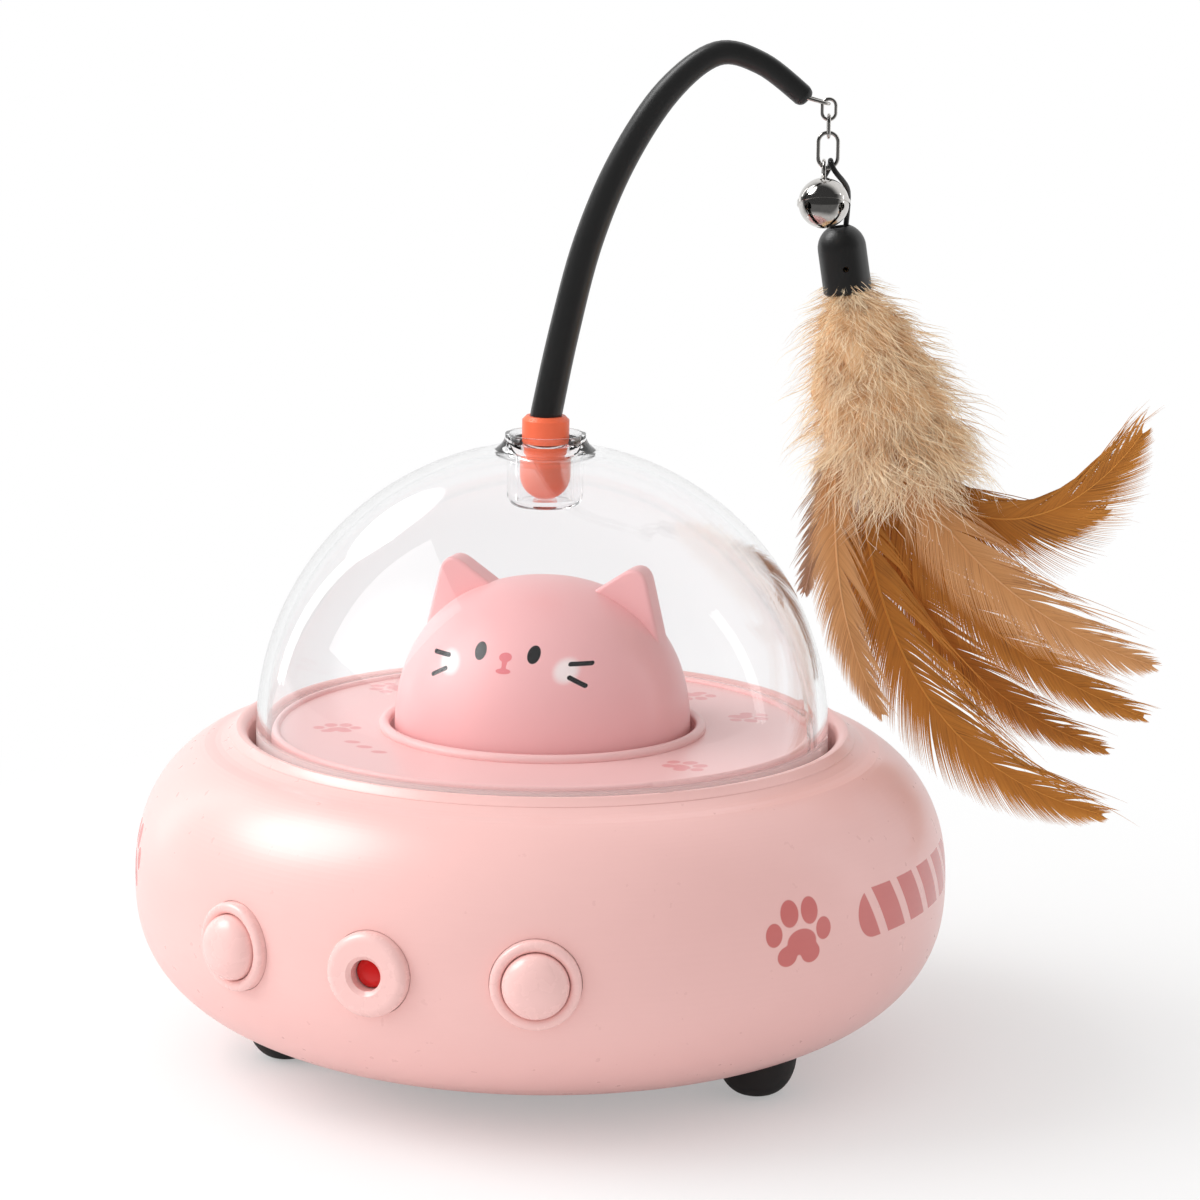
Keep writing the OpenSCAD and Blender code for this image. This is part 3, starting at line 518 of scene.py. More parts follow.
@dataclass(frozen=True)
class CatFace(Moulded):
    """Head plastic, printed kitten face and painted cheek highlights, in millimetres across and
    above the deck.
    """

    black: Colour = (0.012, 0.012, 0.013)
    snout: Colour = (0.80, 0.22, 0.24)
    # painted highlight: pale colour of the soft glow on each cheek
    glow: Colour = (0.98, 0.90, 0.88)
    eye: Oval = (5.5, 19.85, 1.27, 1.62)
    cheek: Oval = (12.0, 17.0, 2.6, 2.6)
    nose: tuple[Oval, Oval] = ((0, 19.15, 1.32, 0.85), (0, 18.1, 0.55, 0.75))
    mouth: tuple[Oval, Oval] = ((0, 16.65, 1.55, 0.52), (0, 17.3, 0.5, 0.6))
    softness: float = 0.8
    whiskers: tuple[tuple[float, float, float, float], ...] = (
        (12.6, 18.2, 16.2, 18.2), (12.8, 15.8, 15.8, 14.2))
    whisker_half: float = 0.42
    whisker_edge: float = 0.07
    cheek_painted_glow: float = 0.85
    gloss: float = 0.1

    def shade(self, graph: Graph) -> Wire:
        """The shader of the finish.

        Args:
            graph: Node tree of the material.

        Returns:
            The shader's output.
        """
        place = graph.place()
        x, y, height = graph.axes(graph.place(math.radians(HEAD_TURN)))
        z = height - DECK_Z
        front = y < 0.0
        side = abs(x)
        eyes = graph.fade(oval_field(side, z, self.eye), 1.1, 0.9)
        ink = eyes.most(self._whiskers(graph, side, z)) * front
        pink = self._snout(graph, x, z) * front
        # painted highlight: a soft pale glow that fades out over each cheek
        glow = graph.fade(oval_field(side, z, self.cheek), 1.25, 0.15) * front
        colour = graph.mix(glow * self.cheek_painted_glow, self.tint(graph, place), self.glow)
        colour = graph.mix(pink, colour, self.snout)
        colour = graph.mix(ink, colour, self.black)
        return self.plastic(graph, place, colour, ink * self.gloss)

    def _snout(self, graph: Graph, x: Wire, z: Wire) -> Wire:
        """Mask of the nose, which narrows downwards, and the small mouth below it."""
        nose, mouth = (
            oval_field(x, z, wide).melt(oval_field(x, z, stem), self.softness)
            for wide, stem in (self.nose, self.mouth))
        return graph.fade(nose.least(mouth), 1.12, 0.88)

    def _whiskers(self, graph: Graph, side: Wire, z: Wire) -> Wire:
        """Mask of the round-ended whisker strokes.

        Args:
            graph: Node tree of the material.
            side: Distance from the face's middle line.
            z: Height, in millimetres.

        Returns:
            The mask.
        """
        shortest = None
        for x0, z0, x1, z1 in self.whiskers:
            dx, dz = x1 - x0, z1 - z0
            long = dx * dx + dz * dz
            along = ((side - x0) * (dx / long) + (z - z0) * (dz / long)).most(0.0).least(1.0)
            away = (side - x0 - along * dx).squared() + (z - z0 - along * dz).squared()
            shortest = away if shortest is None else shortest.least(away)
        half, edge = self.whisker_half, self.whisker_edge
        return graph.fade(graph.math("SQRT", shortest), half + edge, half - edge)


@dataclass(frozen=True)
class ClearPlastic(Finish):
    """Clear moulded plastic; shadow rays and scattered light pass straight through; a painted glint
    whitens the rim.
    """

    name: str
    tint: Colour = (0.965, 0.967, 0.972)
    shadow: Colour = (0.975, 0.977, 0.98)
    ior: float = 1.38
    ripple: float = 0.05
    rim_z: float = 68.4
    rim_fade: tuple[float, float] = (0.7, -0.3)
    rim_painted_glint: float = 0.4
    rim_glint_colour: Colour = (1, 0.93, 0.92)

    def shade(self, graph: Graph) -> Wire:
        """The shader of the finish.

        Args:
            graph: Node tree of the material.

        Returns:
            The shader's output.
        """
        place = graph.place()
        height = graph.axes(place)[2]
        glass = graph.principled({
            "Base Color": (*self.tint, 1.0),
            "Roughness": 0.0,
            "IOR": self.ior,
            "Transmission Weight": 1.0,
            "Normal": graph.bump(graph.noise(place, 0.06, 1.0), 0.1, self.ripple),
        })
        through = graph.node("ShaderNodeBsdfTransparent", None, {"Color": (*self.shadow, 1.0)})
        shadow, scattered = graph.rays("Is Shadow Ray", "Is Diffuse Ray")
        clear = graph.blend(shadow.most(scattered), glass, through)
        # painted highlight: a white diffuse band near the rim's height stands in for light caught at
        # the dome's bottom edge
        edge = graph.node("ShaderNodeBsdfDiffuse", None, {"Color": (*self.rim_glint_colour, 1.0)})
        above, below = (self.rim_z + step for step in self.rim_fade)
        return graph.blend(graph.fade(height, above, below) * self.rim_painted_glint, clear, edge)


@dataclass(frozen=True)
class Metal(Finish):
    """Plated metal with fine scuffs."""

    name: str
    colour: Colour
    roughness: float = 0.08
    scuff: float = 0.08
    scuff_scale: float = 1.6
    dulled: float = 0.86

    def shade(self, graph: Graph) -> Wire:
        """The shader of the finish.

        Args:
            graph: Node tree of the material.

        Returns:
            The shader's output.
        """
        place = graph.place()
        haze = graph.fade(graph.noise(place, self.scuff_scale, 4.0, 0.6), 0.45, 0.75)
        dull = tuple(c * self.dulled for c in self.colour)
        return graph.principled({
            "Base Color": graph.mix(haze, self.colour, dull),
            "Metallic": 1.0,
            "Roughness": haze * self.scuff + self.roughness,
        })


@dataclass(frozen=True)
class Lens(Finish):
    """Red moulded lens of the light window, with a painted glow at its core and painted shade at its
    rim.
    """

    name: str
    colour: Colour = (0.90, 0.002, 0.002)
    centre: tuple[float, float] = (0.4, 37.9)
    radius: float = 3.0
    core_radius: float = 1.0
    rim_painted_shade: float = 0.45
    # painted glow: strength of the emission at the lens's core, which is no lamp
    glow: float = 0.75

    def shade(self, graph: Graph) -> Wire:
        """The shader of the finish.

        Args:
            graph: Node tree of the material.

        Returns:
            The shader's output.
        """
        x, _, z = graph.axes(graph.place())
        away = oval_field(x, z, (*self.centre, 1.0, 1.0))
        # painted shade: the lens is darker towards its rim and lit from within at its core
        core = graph.fade(away, self.radius**2, self.core_radius**2)
        edge = tuple(c * self.rim_painted_shade for c in self.colour)
        colour = graph.mix(core, edge, self.colour)
        return graph.principled({
            "Base Color": colour,
            "Roughness": 0.1,
            "Specular IOR Level": 0.15,
            # painted glow: the core shines by emission
            "Emission Color": graph.mix(core, (0, 0, 0), self.colour),
            "Emission Strength": self.glow,
        })


@dataclass(frozen=True)
class Strands(Finish):
    """Barbs and down: colour runs from root to tip and differs from strand to strand."""

    name: str
    root: Colour
    tip: Colour
    dark: Colour
    roughness: float = 0.62
    sheen: float = 0.05
    patch_scale: float = 0.16

    def shade(self, graph: Graph) -> Wire:
        """The shader of the finish.

        Args:
            graph: Node tree of the material.

        Returns:
            The shader's output.
        """
        tone = graph.attribute("tone")
        along = graph.attribute("along")
        patch = graph.fade(graph.noise(graph.place(), self.patch_scale, 3.0), 0.42, 0.62)
        # colour runs darker at the root and lighter at the tip; on the down this is painted shade
        # deep in the tuft
        colour = graph.mix(graph.fade(along, 0.05, 0.95), self.root, self.tip)
        colour = graph.mix((1.0 - tone).most(0.0) * (patch * 0.5 + 0.5), colour, self.dark)
        return graph.principled({
            "Base Color": colour,
            "Roughness": self.roughness,
            "Specular IOR Level": 0.25,
            "Sheen Weight": self.sheen,
            "Sheen Roughness": 0.5,
            "Sheen Tint": (*self.tip, 1.0),
        })


@dataclass(frozen=True)
class Floor(Finish):
    """Pale floor that keeps the toy's shadow and reads as white further out."""

    name: str
    white: float = 0.94
    lift: float = 0.36
    near: float = 100.0
    far: float = 290.0
    front: float = 150.0
    front_dim: float = 0.85

    def shade(self, graph: Graph) -> Wire:
        """The shader of the finish.

        Args:
            graph: Node tree of the material.

        Returns:
            The shader's output.
        """
        x, y, _ = graph.axes(graph.place())
        away = graph.math("SQRT", x.squared() + y.squared())
        camera, mirror, through = graph.rays(
            "Is Camera Ray", "Is Glossy Ray", "Is Transmission Ray")
        share = graph.fade(away, self.near, self.far) * (1 - self.lift) + self.lift
        before = graph.fade(y, self.front, -self.front)
        ahead = 1.0 - mirror * (1.0 - through) * before * self.front_dim
        matte = graph.node("ShaderNodeBsdfDiffuse", None, {"Color": (self.white,) * 3 + (1.0,)})
        glow = graph.node("ShaderNodeEmission", None, {"Color": (1, 1, 1, 1), "Strength": ahead})
        return graph.blend(camera.most(mirror).most(through) * share, matte, glow)


PINK = PrintedShell("pink_body", (0.92, 0.55, 0.52), 0.29)
PINK_TRIM = Moulded("pink_trim", (0.93, 0.58, 0.55), 0.27)
DECK = PrintedDeck("rose_deck", (0.94, 0.57, 0.555), 0.3)
HEAD = CatFace("rose_head", (0.95, 0.50, 0.50), 0.32)
FOOT_RUBBER = Moulded("foot_rubber", (0.016, 0.016, 0.017), 0.6, 0.02, 0.2)
BLACK = Moulded("black_plastic", (0.006, 0.0055, 0.0055), 0.12, 0.002, 0.2)
ROD = Moulded("black_rod", (0.007, 0.007, 0.0075), 0.27, 0.006, 0.15)
CORD = Moulded("black_cord", (0.012, 0.012, 0.012), 0.45, 0.02, 0.2)
SILICONE = Moulded("orange_silicone", (0.85, 0.11, 0.045), 0.42, 0.006, 0.08, 0.0, 0.15)
WHITE = Moulded("white_plastic", (0.80, 0.80, 0.77), 0.4, 0.006, 0.05)
BOARD = Moulded("green_board", (0.03, 0.17, 0.07), 0.35, 0.01, 0.2)
CELL = Moulded("battery_wrap", (0.06, 0.16, 0.42), 0.25, 0.003, 0.1)
CLEAR = ClearPlastic("clear_dome")
CHROME = Metal("nickel_plate", (0.62, 0.60, 0.575))
STEEL = Metal("steel", (0.55, 0.55, 0.56), 0.25, 0.15)
LENS = Lens("red_lens")
# painted shade: the down's roots are darker deep in the tuft and its tips lighter where light
# reaches them
DOWN = Strands("tan_down", (0.83, 0.54, 0.30), (1.0, 0.85, 0.62), (0.46, 0.26, 0.12), 0.8, 0.1)
AMBER = Strands("amber_vane", (0.48, 0.17, 0.024), (0.66, 0.275, 0.05), (0.15, 0.05, 0.01))
PALE = Strands("pale_vane", (0.58, 0.27, 0.10), (0.70, 0.37, 0.17), (0.28, 0.11, 0.04))
DULL = Strands("dull_vane", (0.52, 0.34, 0.21), (0.66, 0.49, 0.36), (0.32, 0.19, 0.10))

FEET = ("front_left_foot", "front_right_foot", "rear_foot")
NODE_FINISH: dict[Finish, tuple[str, ...]] = {
    PINK: ("body_shell", "base_plate"),
    PINK_TRIM: ("left_bezel", "right_bezel", "laser_bezel"),
    DECK: ("deck",),
    BLACK: ("lure_cap", "laser_barrel", "board_parts", "left_switch",
            "right_switch", "left_plunger", "right_plunger"),
    SILICONE: ("wand_plug",),
    WHITE: ("chassis", "ring_gear", "drive_pinion"),
    BOARD: ("main_board", "charge_board", "left_switch_board", "right_switch_board"),
    CELL: ("battery",),
    CLEAR: ("dome",),
    CHROME: ("upper_link", "middle_link", "lower_link", "bell_upper", "bell_pellet"),
    STEEL: ("base_screws", "deck_screws", "motor_screws", "motor_shaft", "spin_motor",
            "charge_socket"),
    LENS: ("laser_lens",),
}


def clear_selection() -> None:
    """Leaves edit mode and selects nothing."""
    if bpy.context.mode != "OBJECT":
        bpy.ops.object.mode_set(mode="OBJECT")
    bpy.ops.object.select_all(action="DESELECT")


def choose(piece: bpy.types.Object) -> None:
    """Selects one piece alone and makes it the active one."""
    clear_selection()
    bpy.context.view_layer.objects.active = piece
    piece.select_set(True)


def face_outward() -> None:
    """Turns the faces of the piece that is edited outwards and leaves edit mode."""
    bpy.ops.mesh.select_all(action="SELECT")
    bpy.ops.mesh.normals_make_consistent(inside=False)
    bpy.ops.object.mode_set(mode="OBJECT")


def apply_modifier(piece: bpy.types.Object, kind: str, **settings: Any) -> None:
    """Adds a modifier to a piece and applies it.

    Args:
        piece: The piece.
        kind: Type of the modifier.
        settings: Its attributes.
    """
    choose(piece)
    made = piece.modifiers.new(kind.lower(), kind)
    for key, value in settings.items():
        setattr(made, key, value)
    bpy.ops.object.modifier_apply(modifier=made.name)


def shade_smooth(piece: bpy.types.Object, angle: float = 35.0) -> None:
    """Shades a piece smooth up to an angle between faces, in degrees."""
    choose(piece)
    bpy.ops.object.shade_smooth_by_angle(angle=math.radians(angle))


def lathe(name: str, outline: Outline, steps: int = 160) -> bpy.types.Object:
    """Spins a closed outline round Z.

    Args:
        name: Name of the piece.
        outline: Points (radius, height) in millimetres; the last one meets the first.
        steps: Number of steps round the axis.

    Returns:
        The piece.
    """
    clear_selection()
    bpy.ops.mesh.primitive_plane_add(size=MM)
    piece = bpy.context.object
    piece.name = name
    bpy.ops.object.mode_set(mode="EDIT")
    bpy.ops.mesh.select_all(action="SELECT")
    bpy.ops.mesh.merge(type="CENTER")
    corners = [Vector((radius * MM, 0, height * MM)) for radius, height in [*outline, outline[0]]]
    bpy.ops.transform.translate(value=corners[0])
    for here, goal in zip(corners, corners[1:]):
        bpy.ops.mesh.extrude_region_move(TRANSFORM_OT_translate={"value": goal - here})
    bpy.ops.mesh.select_all(action="SELECT")
    bpy.ops.mesh.remove_doubles(threshold=WELD)
    bpy.ops.mesh.spin(steps=steps, angle=math.tau, center=(0, 0, 0), axis=(0, 0, 1))
    bpy.ops.mesh.select_all(action="SELECT")
    bpy.ops.mesh.remove_doubles(threshold=WELD)
    face_outward()
    return piece


def mesh_piece(
    name: str, points: Sequence[Vector], faces: Sequence[Sequence[int]]
) -> bpy.types.Object:
    """Makes a piece from points in millimetres and faces.

    Args:
        name: Name of the piece.
        points: Its points.
        faces: Point numbers of each face.

    Returns:
        The piece, in the scene's collection.
    """
    mesh = bpy.data.meshes.new(name)
    mesh.from_pydata([p * MM for p in points], [], faces)
    piece = bpy.data.objects.new(name, mesh)
    bpy.context.scene.collection.objects.link(piece)
    return piece


def loft(name: str, rings: Sequence[Sequence[Vector]]) -> bpy.types.Object:
    """Skins rings of equal size and closes both ends.

    Args:
        name: Name of the piece.
        rings: Rings of points in millimetres.

    Returns:
        The piece.
    """
    count = len(rings[0])
    points = [p for ring in rings for p in ring]
    faces: list[list[int]] = []
    for i in range(len(rings) - 1):
        for j in range(count):
            a, b = i * count + j, i * count + (j + 1) % count
            faces.append([a, b, b + count, a + count])
    faces.append(list(reversed(range(count))))
    faces.append(list(range(len(points) - count, len(points))))
    piece = mesh_piece(name, points, faces)
    choose(piece)
    bpy.ops.object.mode_set(mode="EDIT")
    face_outward()
    return piece


def ring(centre: Vector, ahead: Vector, side: Vector, radius: float, count: int) -> list[Vector]:
    """Points of a circle square to a direction.

    Args:
        centre: Its centre.
        ahead: The direction.
        side: Rough direction of its first point.
        radius: Its radius.
        count: Number of points.

    Returns:
        The points.
    """
    way = ahead.normalized()
    first = (side - way * side.dot(way)).normalized()
    second = way.cross(first)
    angles = [math.tau * j / count for j in range(count)]
    return [centre + (first * math.cos(a) + second * math.sin(a)) * radius for a in angles]


def ways(line: Sequence[Vector]) -> list[Vector]:
    """Rough direction of a line at each of its points."""
    last = len(line) - 1
    return [line[min(i + 1, last)] - line[max(i - 1, 0)] for i in range(last + 1)]


def node_box(node: bpy.types.Object) -> tuple[Vector, Vector]:
    """Lowest and highest corner of a CAD node, in metres."""
    spots = [node.matrix_world @ Vector(c) for c in node.bound_box]
    low, high = (Vector([pick(c[i] for c in spots) for i in range(3)]) for pick in (min, max))
    return low, high


def set_numbers(piece: bpy.types.Object, name: str, values: Sequence[float]) -> None:
    """Gives each point of a piece a number that its finish reads."""
    piece.data.attributes.new(name, "FLOAT", "POINT").data.foreach_set("value", values)


def ease(value: float) -> float:
    """Smooth step of a value between 0 and 1."""
    clipped = min(1.0, max(0.0, value))
    return clipped * clipped * (3 - 2 * clipped)


def finish_piece(
    piece: bpy.types.Object, body: Body, finish: Finish, slot: str, *nodes: str
) -> bpy.types.Object:
    """Dresses a new piece and ties it to the frame.

    Args:
        piece: The piece.
        body: The body that it rides on.
        finish: Its finish.
        slot: Not used.
        nodes: CAD nodes that it stands for.

    Returns:
        The piece.
    """
    finish.dress(piece)
    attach(piece, body.value)
    if nodes:
        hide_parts(*nodes)
    log.info("%s rides on %s", piece.name, body.value)
    return piece


@dataclass
class WandFrame:
    """Place of the wand, chain and lure, in millimetres as in the part's source."""

    heading: float = 23.0
    reach: float = 51.0
    rise: float = 73.0
    plug_top: float = 132.202
    link_x: float = 55.4
    eye_z: float = 195.388
    cord_top: Vector = field(default_factory=lambda: Vector((55.95, 0, 184.128)))
    cap_top: Vector = field(default_factory=lambda: Vector((58.35, 8.5, 170.428)))
    lean: float = 9.0

    def __post_init__(self) -> None:
        """Works out the turns."""
        self.turn = Matrix.Rotation(math.radians(self.heading), 4, "Z")
        self.tilt = Matrix.Rotation(math.radians(-self.lean), 4, "Y")

    def out(self, point: Vector) -> Vector:
        """A point or direction of the wand's plane, in the frame."""
        return self.turn @ point

    def hung(self, point: Vector) -> Vector:
        """A point below the cap's top, along the leaning lure, in the frame."""
        return self.turn @ (self.cap_top + self.tilt @ point)

    def down(self) -> Vector:
        """Direction of the leaning lure, in the wand's plane."""
        return self.tilt @ Vector((0, 0, -1))


@dataclass
class Head:
    """The cat head: a lathe-turned crown with two rounded ears."""

    radius: float = 30.0
    height: float = 30.6
    power: float = 2.22
    low: float = 63.953
    flange_r: float = 35.8
    flange_t: float = 2.2
    ear_corners: tuple[tuple[float, float], ...] = ((26.2, 13.0), (20.8, 35.6), (7.2, 26.4))
    ear_front: float = -1.6
    ear_deep: float = 6.4
    ear_round: float = 5.0
    ear_edge: float = 1.9

    def crown(self) -> list[tuple[float, float]]:
        """Outline of the head from the flange to the pole.

        Returns:
            Points (radius, height) in millimetres.
        """
        steps = 40
        line = [(0.0, self.low), (self.flange_r, self.low),
                (self.flange_r, self.low + self.flange_t), (self.radius, self.low + self.flange_t)]
        for i in range(steps + 1):
            a = math.pi / 2 * i / steps
            line.append((self.radius * math.cos(a) ** (2 / self.power),
                         DECK_Z + self.height * math.sin(a) ** (2 / self.power)))
        line[-1] = (0.0, DECK_Z + self.height)
        return line

    def ear(self, side: int) -> bpy.types.Object:
        """One ear: a rounded triangle with depth and soft edges.

        Args:
            side: 1 for the right ear, -1 for the left one.

        Returns:
            The ear, before it joins the head.
        """
        clear_selection()
        bpy.ops.mesh.primitive_circle_add(vertices=3, radius=MM, fill_type="NGON")
        ear = bpy.context.object
        for vertex, (x, z) in zip(ear.data.vertices, self.ear_corners):
            vertex.co = (side * x * MM, self.ear_front * MM, (DECK_Z + z) * MM)
        bpy.ops.object.mode_set(mode="EDIT")
        bpy.ops.mesh.select_all(action="SELECT")
        bpy.ops.mesh.bevel(
            affect="VERTICES", offset=self.ear_round * MM, segments=8, profile=0.55)
        bpy.ops.mesh.select_all(action="SELECT")
        bpy.ops.mesh.extrude_region_move(
            TRANSFORM_OT_translate={"value": (0, self.ear_deep * MM, 0)})
        face_outward()
        apply_modifier(ear, "BEVEL", width=self.ear_edge * MM, segments=6, limit_method="ANGLE",
                       angle_limit=math.radians(50), profile=0.6)
        return ear

    def build(self) -> bpy.types.Object:
        """Makes the head and turns it to its heading.

        Returns:
            The head.
        """
        head = lathe("cat_head_shell", self.crown(), 192)
        for side in (-1, 1):
            ear = self.ear(side)
            apply_modifier(head, "BOOLEAN", operation="UNION", object=ear, solver="EXACT")
            bpy.data.objects.remove(ear)
        head.data.transform(Matrix.Rotation(math.radians(HEAD_TURN), 4, "Z"))
        shade_smooth(head, 32)
        return finish_piece(head, Body.SAUCER, HEAD, "rose_plastic", "cat_head")


@dataclass
class Wand:
    """The arched rod with a channel under its tip, and the wire eye at its end."""

    place: WandFrame
    foot_d: float = 6.4
    tip_d: float = 4.8
    round_r: float = 1.6
    wire_d: float = 0.7
    eye_w: float = 1.6
    stub: float = 8.9
    stub_step: float = 0.7
    channel: float = 0.36
    channel_half: float = 0.42
    channel_run: tuple[float, float] = (0.52, 0.3)
    sides: int = 40
    span_steps: int = 8
    arch: tuple[tuple[float, float], ...] = (
        (0, 0), (0.067, 0.231), (0.157, 0.48), (0.286, 0.703), (0.461, 0.896), (0.647, 1),
        (0.824, 0.975), (1, 0.882))

    def __post_init__(self) -> None:
        """Works out the arch's centre line."""
        steps = self.span_steps
        self.line = [self._at(k, j / steps) for k in range(len(self.arch) - 1)
                     for j in range(steps)]
        self.line.append(self._at(len(self.arch) - 2, 1.0))

    def _at(self, k: int, t: float) -> Vector:
        """Point of the arch on the span after its corner k."""
        last = len(self.arch) - 1
        a, b, c, d = (Vector(self.arch[min(last, max(0, k + i))]) for i in (-1, 0, 1, 2))
        p = 0.5 * (2 * b + (c - a) * t + (2 * a - 5 * b + 4 * c - d) * t**2
                   + (3 * b - a - 3 * c + d) * t**3)
        return Vector((p.x * self.place.reach, 0, self.place.plug_top + p.y * self.place.rise))

    def way(self, i: int) -> Vector:
        """Direction of the arch at one of its points."""
        if i == 0:
            return UP
        return (self.line[min(i + 1, len(self.line) - 1)] - self.line[i - 1]).normalized()

    def rod(self) -> bpy.types.Object:
        """The rod, with its channel deepening towards the tip and rounded ends.

        Returns:
            The rod.
        """
        last = len(self.line) - 1
        start, run = self.channel_run
        foot = self.line[0]
        rings = [ring(end, UP, BACK, self.foot_d / 2 - self.stub_step, self.sides)
                 for end in (foot - Vector((0, 0, self.stub)), foot)]
        for i, centre in enumerate(self.line[:-1]):
            radius = (self.foot_d + (self.tip_d - self.foot_d) * i / last) / 2
            depth = self.channel * ease((i / last - start) / run)
            rings.append(self._grooved(centre, self.way(i), radius, depth))
        tip, ahead = self.line[-1], self.way(last)
        for step in range(0, 90, 11):
            a = math.radians(step)
            rings.append(self._grooved(tip + ahead * self.round_r * (math.sin(a) - 0.7), ahead,
                                       self.tip_d / 2 - self.round_r * (1 - math.cos(a)),
                                       self.channel))
        rod = loft("wand_rod_arch", [[self.place.out(p) for p in r] for r in rings])
        shade_smooth(rod, 40)
        return finish_piece(rod, Body.WAND, ROD, "black_rod", "wand_rod")

    def _grooved(
        self, centre: Vector, ahead: Vector, radius: float, depth: float
    ) -> list[Vector]:
        """A ring with a channel pressed into its underside.

        Args:
            centre: Its centre.
            ahead: Direction of the rod.
            radius: Radius of the rod.
            depth: Depth of the channel, as a share of the radius.

        Returns:
            The ring's points.
        """
        under = ahead.cross(BACK)
        out = []
        for p in ring(centre, ahead, BACK, radius, self.sides):
            arm = p - centre
            dent = math.exp(-((arm.normalized().angle(under) / self.channel_half) ** 2)) * depth
            out.append(centre + arm * (1 - dent))
        return out

    def eye(self) -> bpy.types.Object:
        """The wire eye at the rod's tip.

        Returns:
            The eye.
        """
        tip = self.line[-1]
        far = Vector((self.place.link_x, 0, self.place.eye_z)) - tip
        line = []
        for degrees in range(-90, 91, 6):
            a = math.radians(degrees)
            reach = max(0.0, math.cos(a)) ** 0.8
            line.append(tip + far * reach + Vector((0, self.eye_w * math.sin(a), 0)))
        out = self.place.out
        rings = [ring(out(p), out(ahead), Vector((0, 0.02, 1)), self.wire_d / 2, 14)
                 for p, ahead in zip(line, ways(line))]
        eye = loft("tip_eye_wire", rings)
        shade_smooth(eye, 60)
        return finish_piece(eye, Body.WAND, CHROME, "chrome", "tip_eye")


@dataclass
class Clip:
    """The open black clip on the ledge of the cup's mouth."""

    radius: float = 6.55
    wire_r: float = 0.55
    seat_z: float = 126.502
    mouth: float = 47.0
    steps: int = 60

    def build(self, heading: float) -> bpy.types.Object:
        """Makes the clip.

        Args:
            heading: The wand's heading, in degrees; the clip opens a quarter turn before it.

        Returns:
            The clip.
        """
        rings = []
        for step in range(self.steps + 1):
            part = (360 - 2 * self.mouth) * step / self.steps
            a = math.radians(heading - 90 + self.mouth + part)
            centre = Vector((math.cos(a), math.sin(a), 0)) * self.radius
            centre.z = self.seat_z + self.wire_r
            ahead = Vector((-math.sin(a), math.cos(a), 0))
            rings.append(ring(centre, ahead, UP, self.wire_r, 16))
        clip = loft("socket_clip_wire", rings)
        shade_smooth(clip, 50)
        return finish_piece(clip, Body.TURNTABLE, BLACK, "black_plastic", "socket_clip")


@dataclass
class BellCup:
    """Lower half of the bell: four leaves, parted by slots that end in round holes."""

    wand: WandFrame
    radius: float = 5.05
    wall: float = 0.5
    seam: float = 0.25
    seam_h: float = 0.4
    slot: float = 0.75
    hole_r: float = 0.85
    hole_turn: float = 20.0
    lean: float = -24.0
    hang: Point = (54.6, 0.0, 182.86)
    drop: float = 7.484

    def __post_init__(self) -> None:
        """Works out where the bell hangs."""
        self.place = (self.wand.turn @ Matrix.Translation(Vector(self.hang) * MM)
                      @ Matrix.Rotation(math.radians(self.lean), 4, "X")
                      @ Matrix.Translation((0, 0, -self.drop * MM)))

    def outline(self) -> list[tuple[float, float]]:
        """Section of the cup, from its pole round the seam's edge and back inside."""
        angles = [math.radians(a) for a in range(0, 91, 5)]
        inner = self.radius - self.wall
        line = [(self.radius * math.sin(a), -self.radius * math.cos(a)) for a in angles[:-1]]
        line += [(self.radius, -self.seam_h), (self.radius + self.seam, -self.seam_h),
                 (self.radius + self.seam, 0.0)]
        line += [(inner * math.sin(a), -inner * math.cos(a)) for a in reversed(angles)]
        return line

    def cut(self, cup: bpy.types.Object, tool: bpy.types.Object, turn: Matrix) -> None:
        """Takes a cutter, turned into its place, out of the cup."""
        tool.data.transform(turn)
        apply_modifier(cup, "BOOLEAN", operation="DIFFERENCE", object=tool, solver="EXACT")
        bpy.data.objects.remove(tool)

    def build(self) -> bpy.types.Object:
        """Makes the cup with its crossed slots.

        Returns:
            The cup.
        """
        cup = lathe("bell_cup", self.outline(), 96)
        end = math.radians(self.hole_turn)
        low = self.radius * math.sin(end)
        reach = self.radius * math.cos(end)
        bottom = self.radius + 1
        size = Matrix.Diagonal((2 * reach, self.slot, bottom - low, 1))
        middle = Matrix.Translation((0, 0, -(bottom + low) / 2 * MM))
        aim = Matrix.Rotation(math.pi / 2 + end, 4, "Y")
        spot = Matrix.Translation(Vector((reach, 0, -low)) * MM)
        for degrees in (45, 135):
            clear_selection()
            bpy.ops.mesh.primitive_cube_add(size=MM)
            turn = Matrix.Rotation(math.radians(degrees), 4, "Z")
            self.cut(cup, bpy.context.object, turn @ middle @ size)
        for degrees in (45, 135, 225, 315):
            clear_selection()
            bpy.ops.mesh.primitive_cylinder_add(radius=self.hole_r * MM, depth=3 * MM, vertices=32)
            turn = Matrix.Rotation(math.radians(degrees), 4, "Z")
            self.cut(cup, bpy.context.object, turn @ spot @ aim)
        cup.data.transform(self.place)
        shade_smooth(cup, 30)
        return finish_piece(cup, Body.BELL, CHROME, "chrome", "bell_lower")


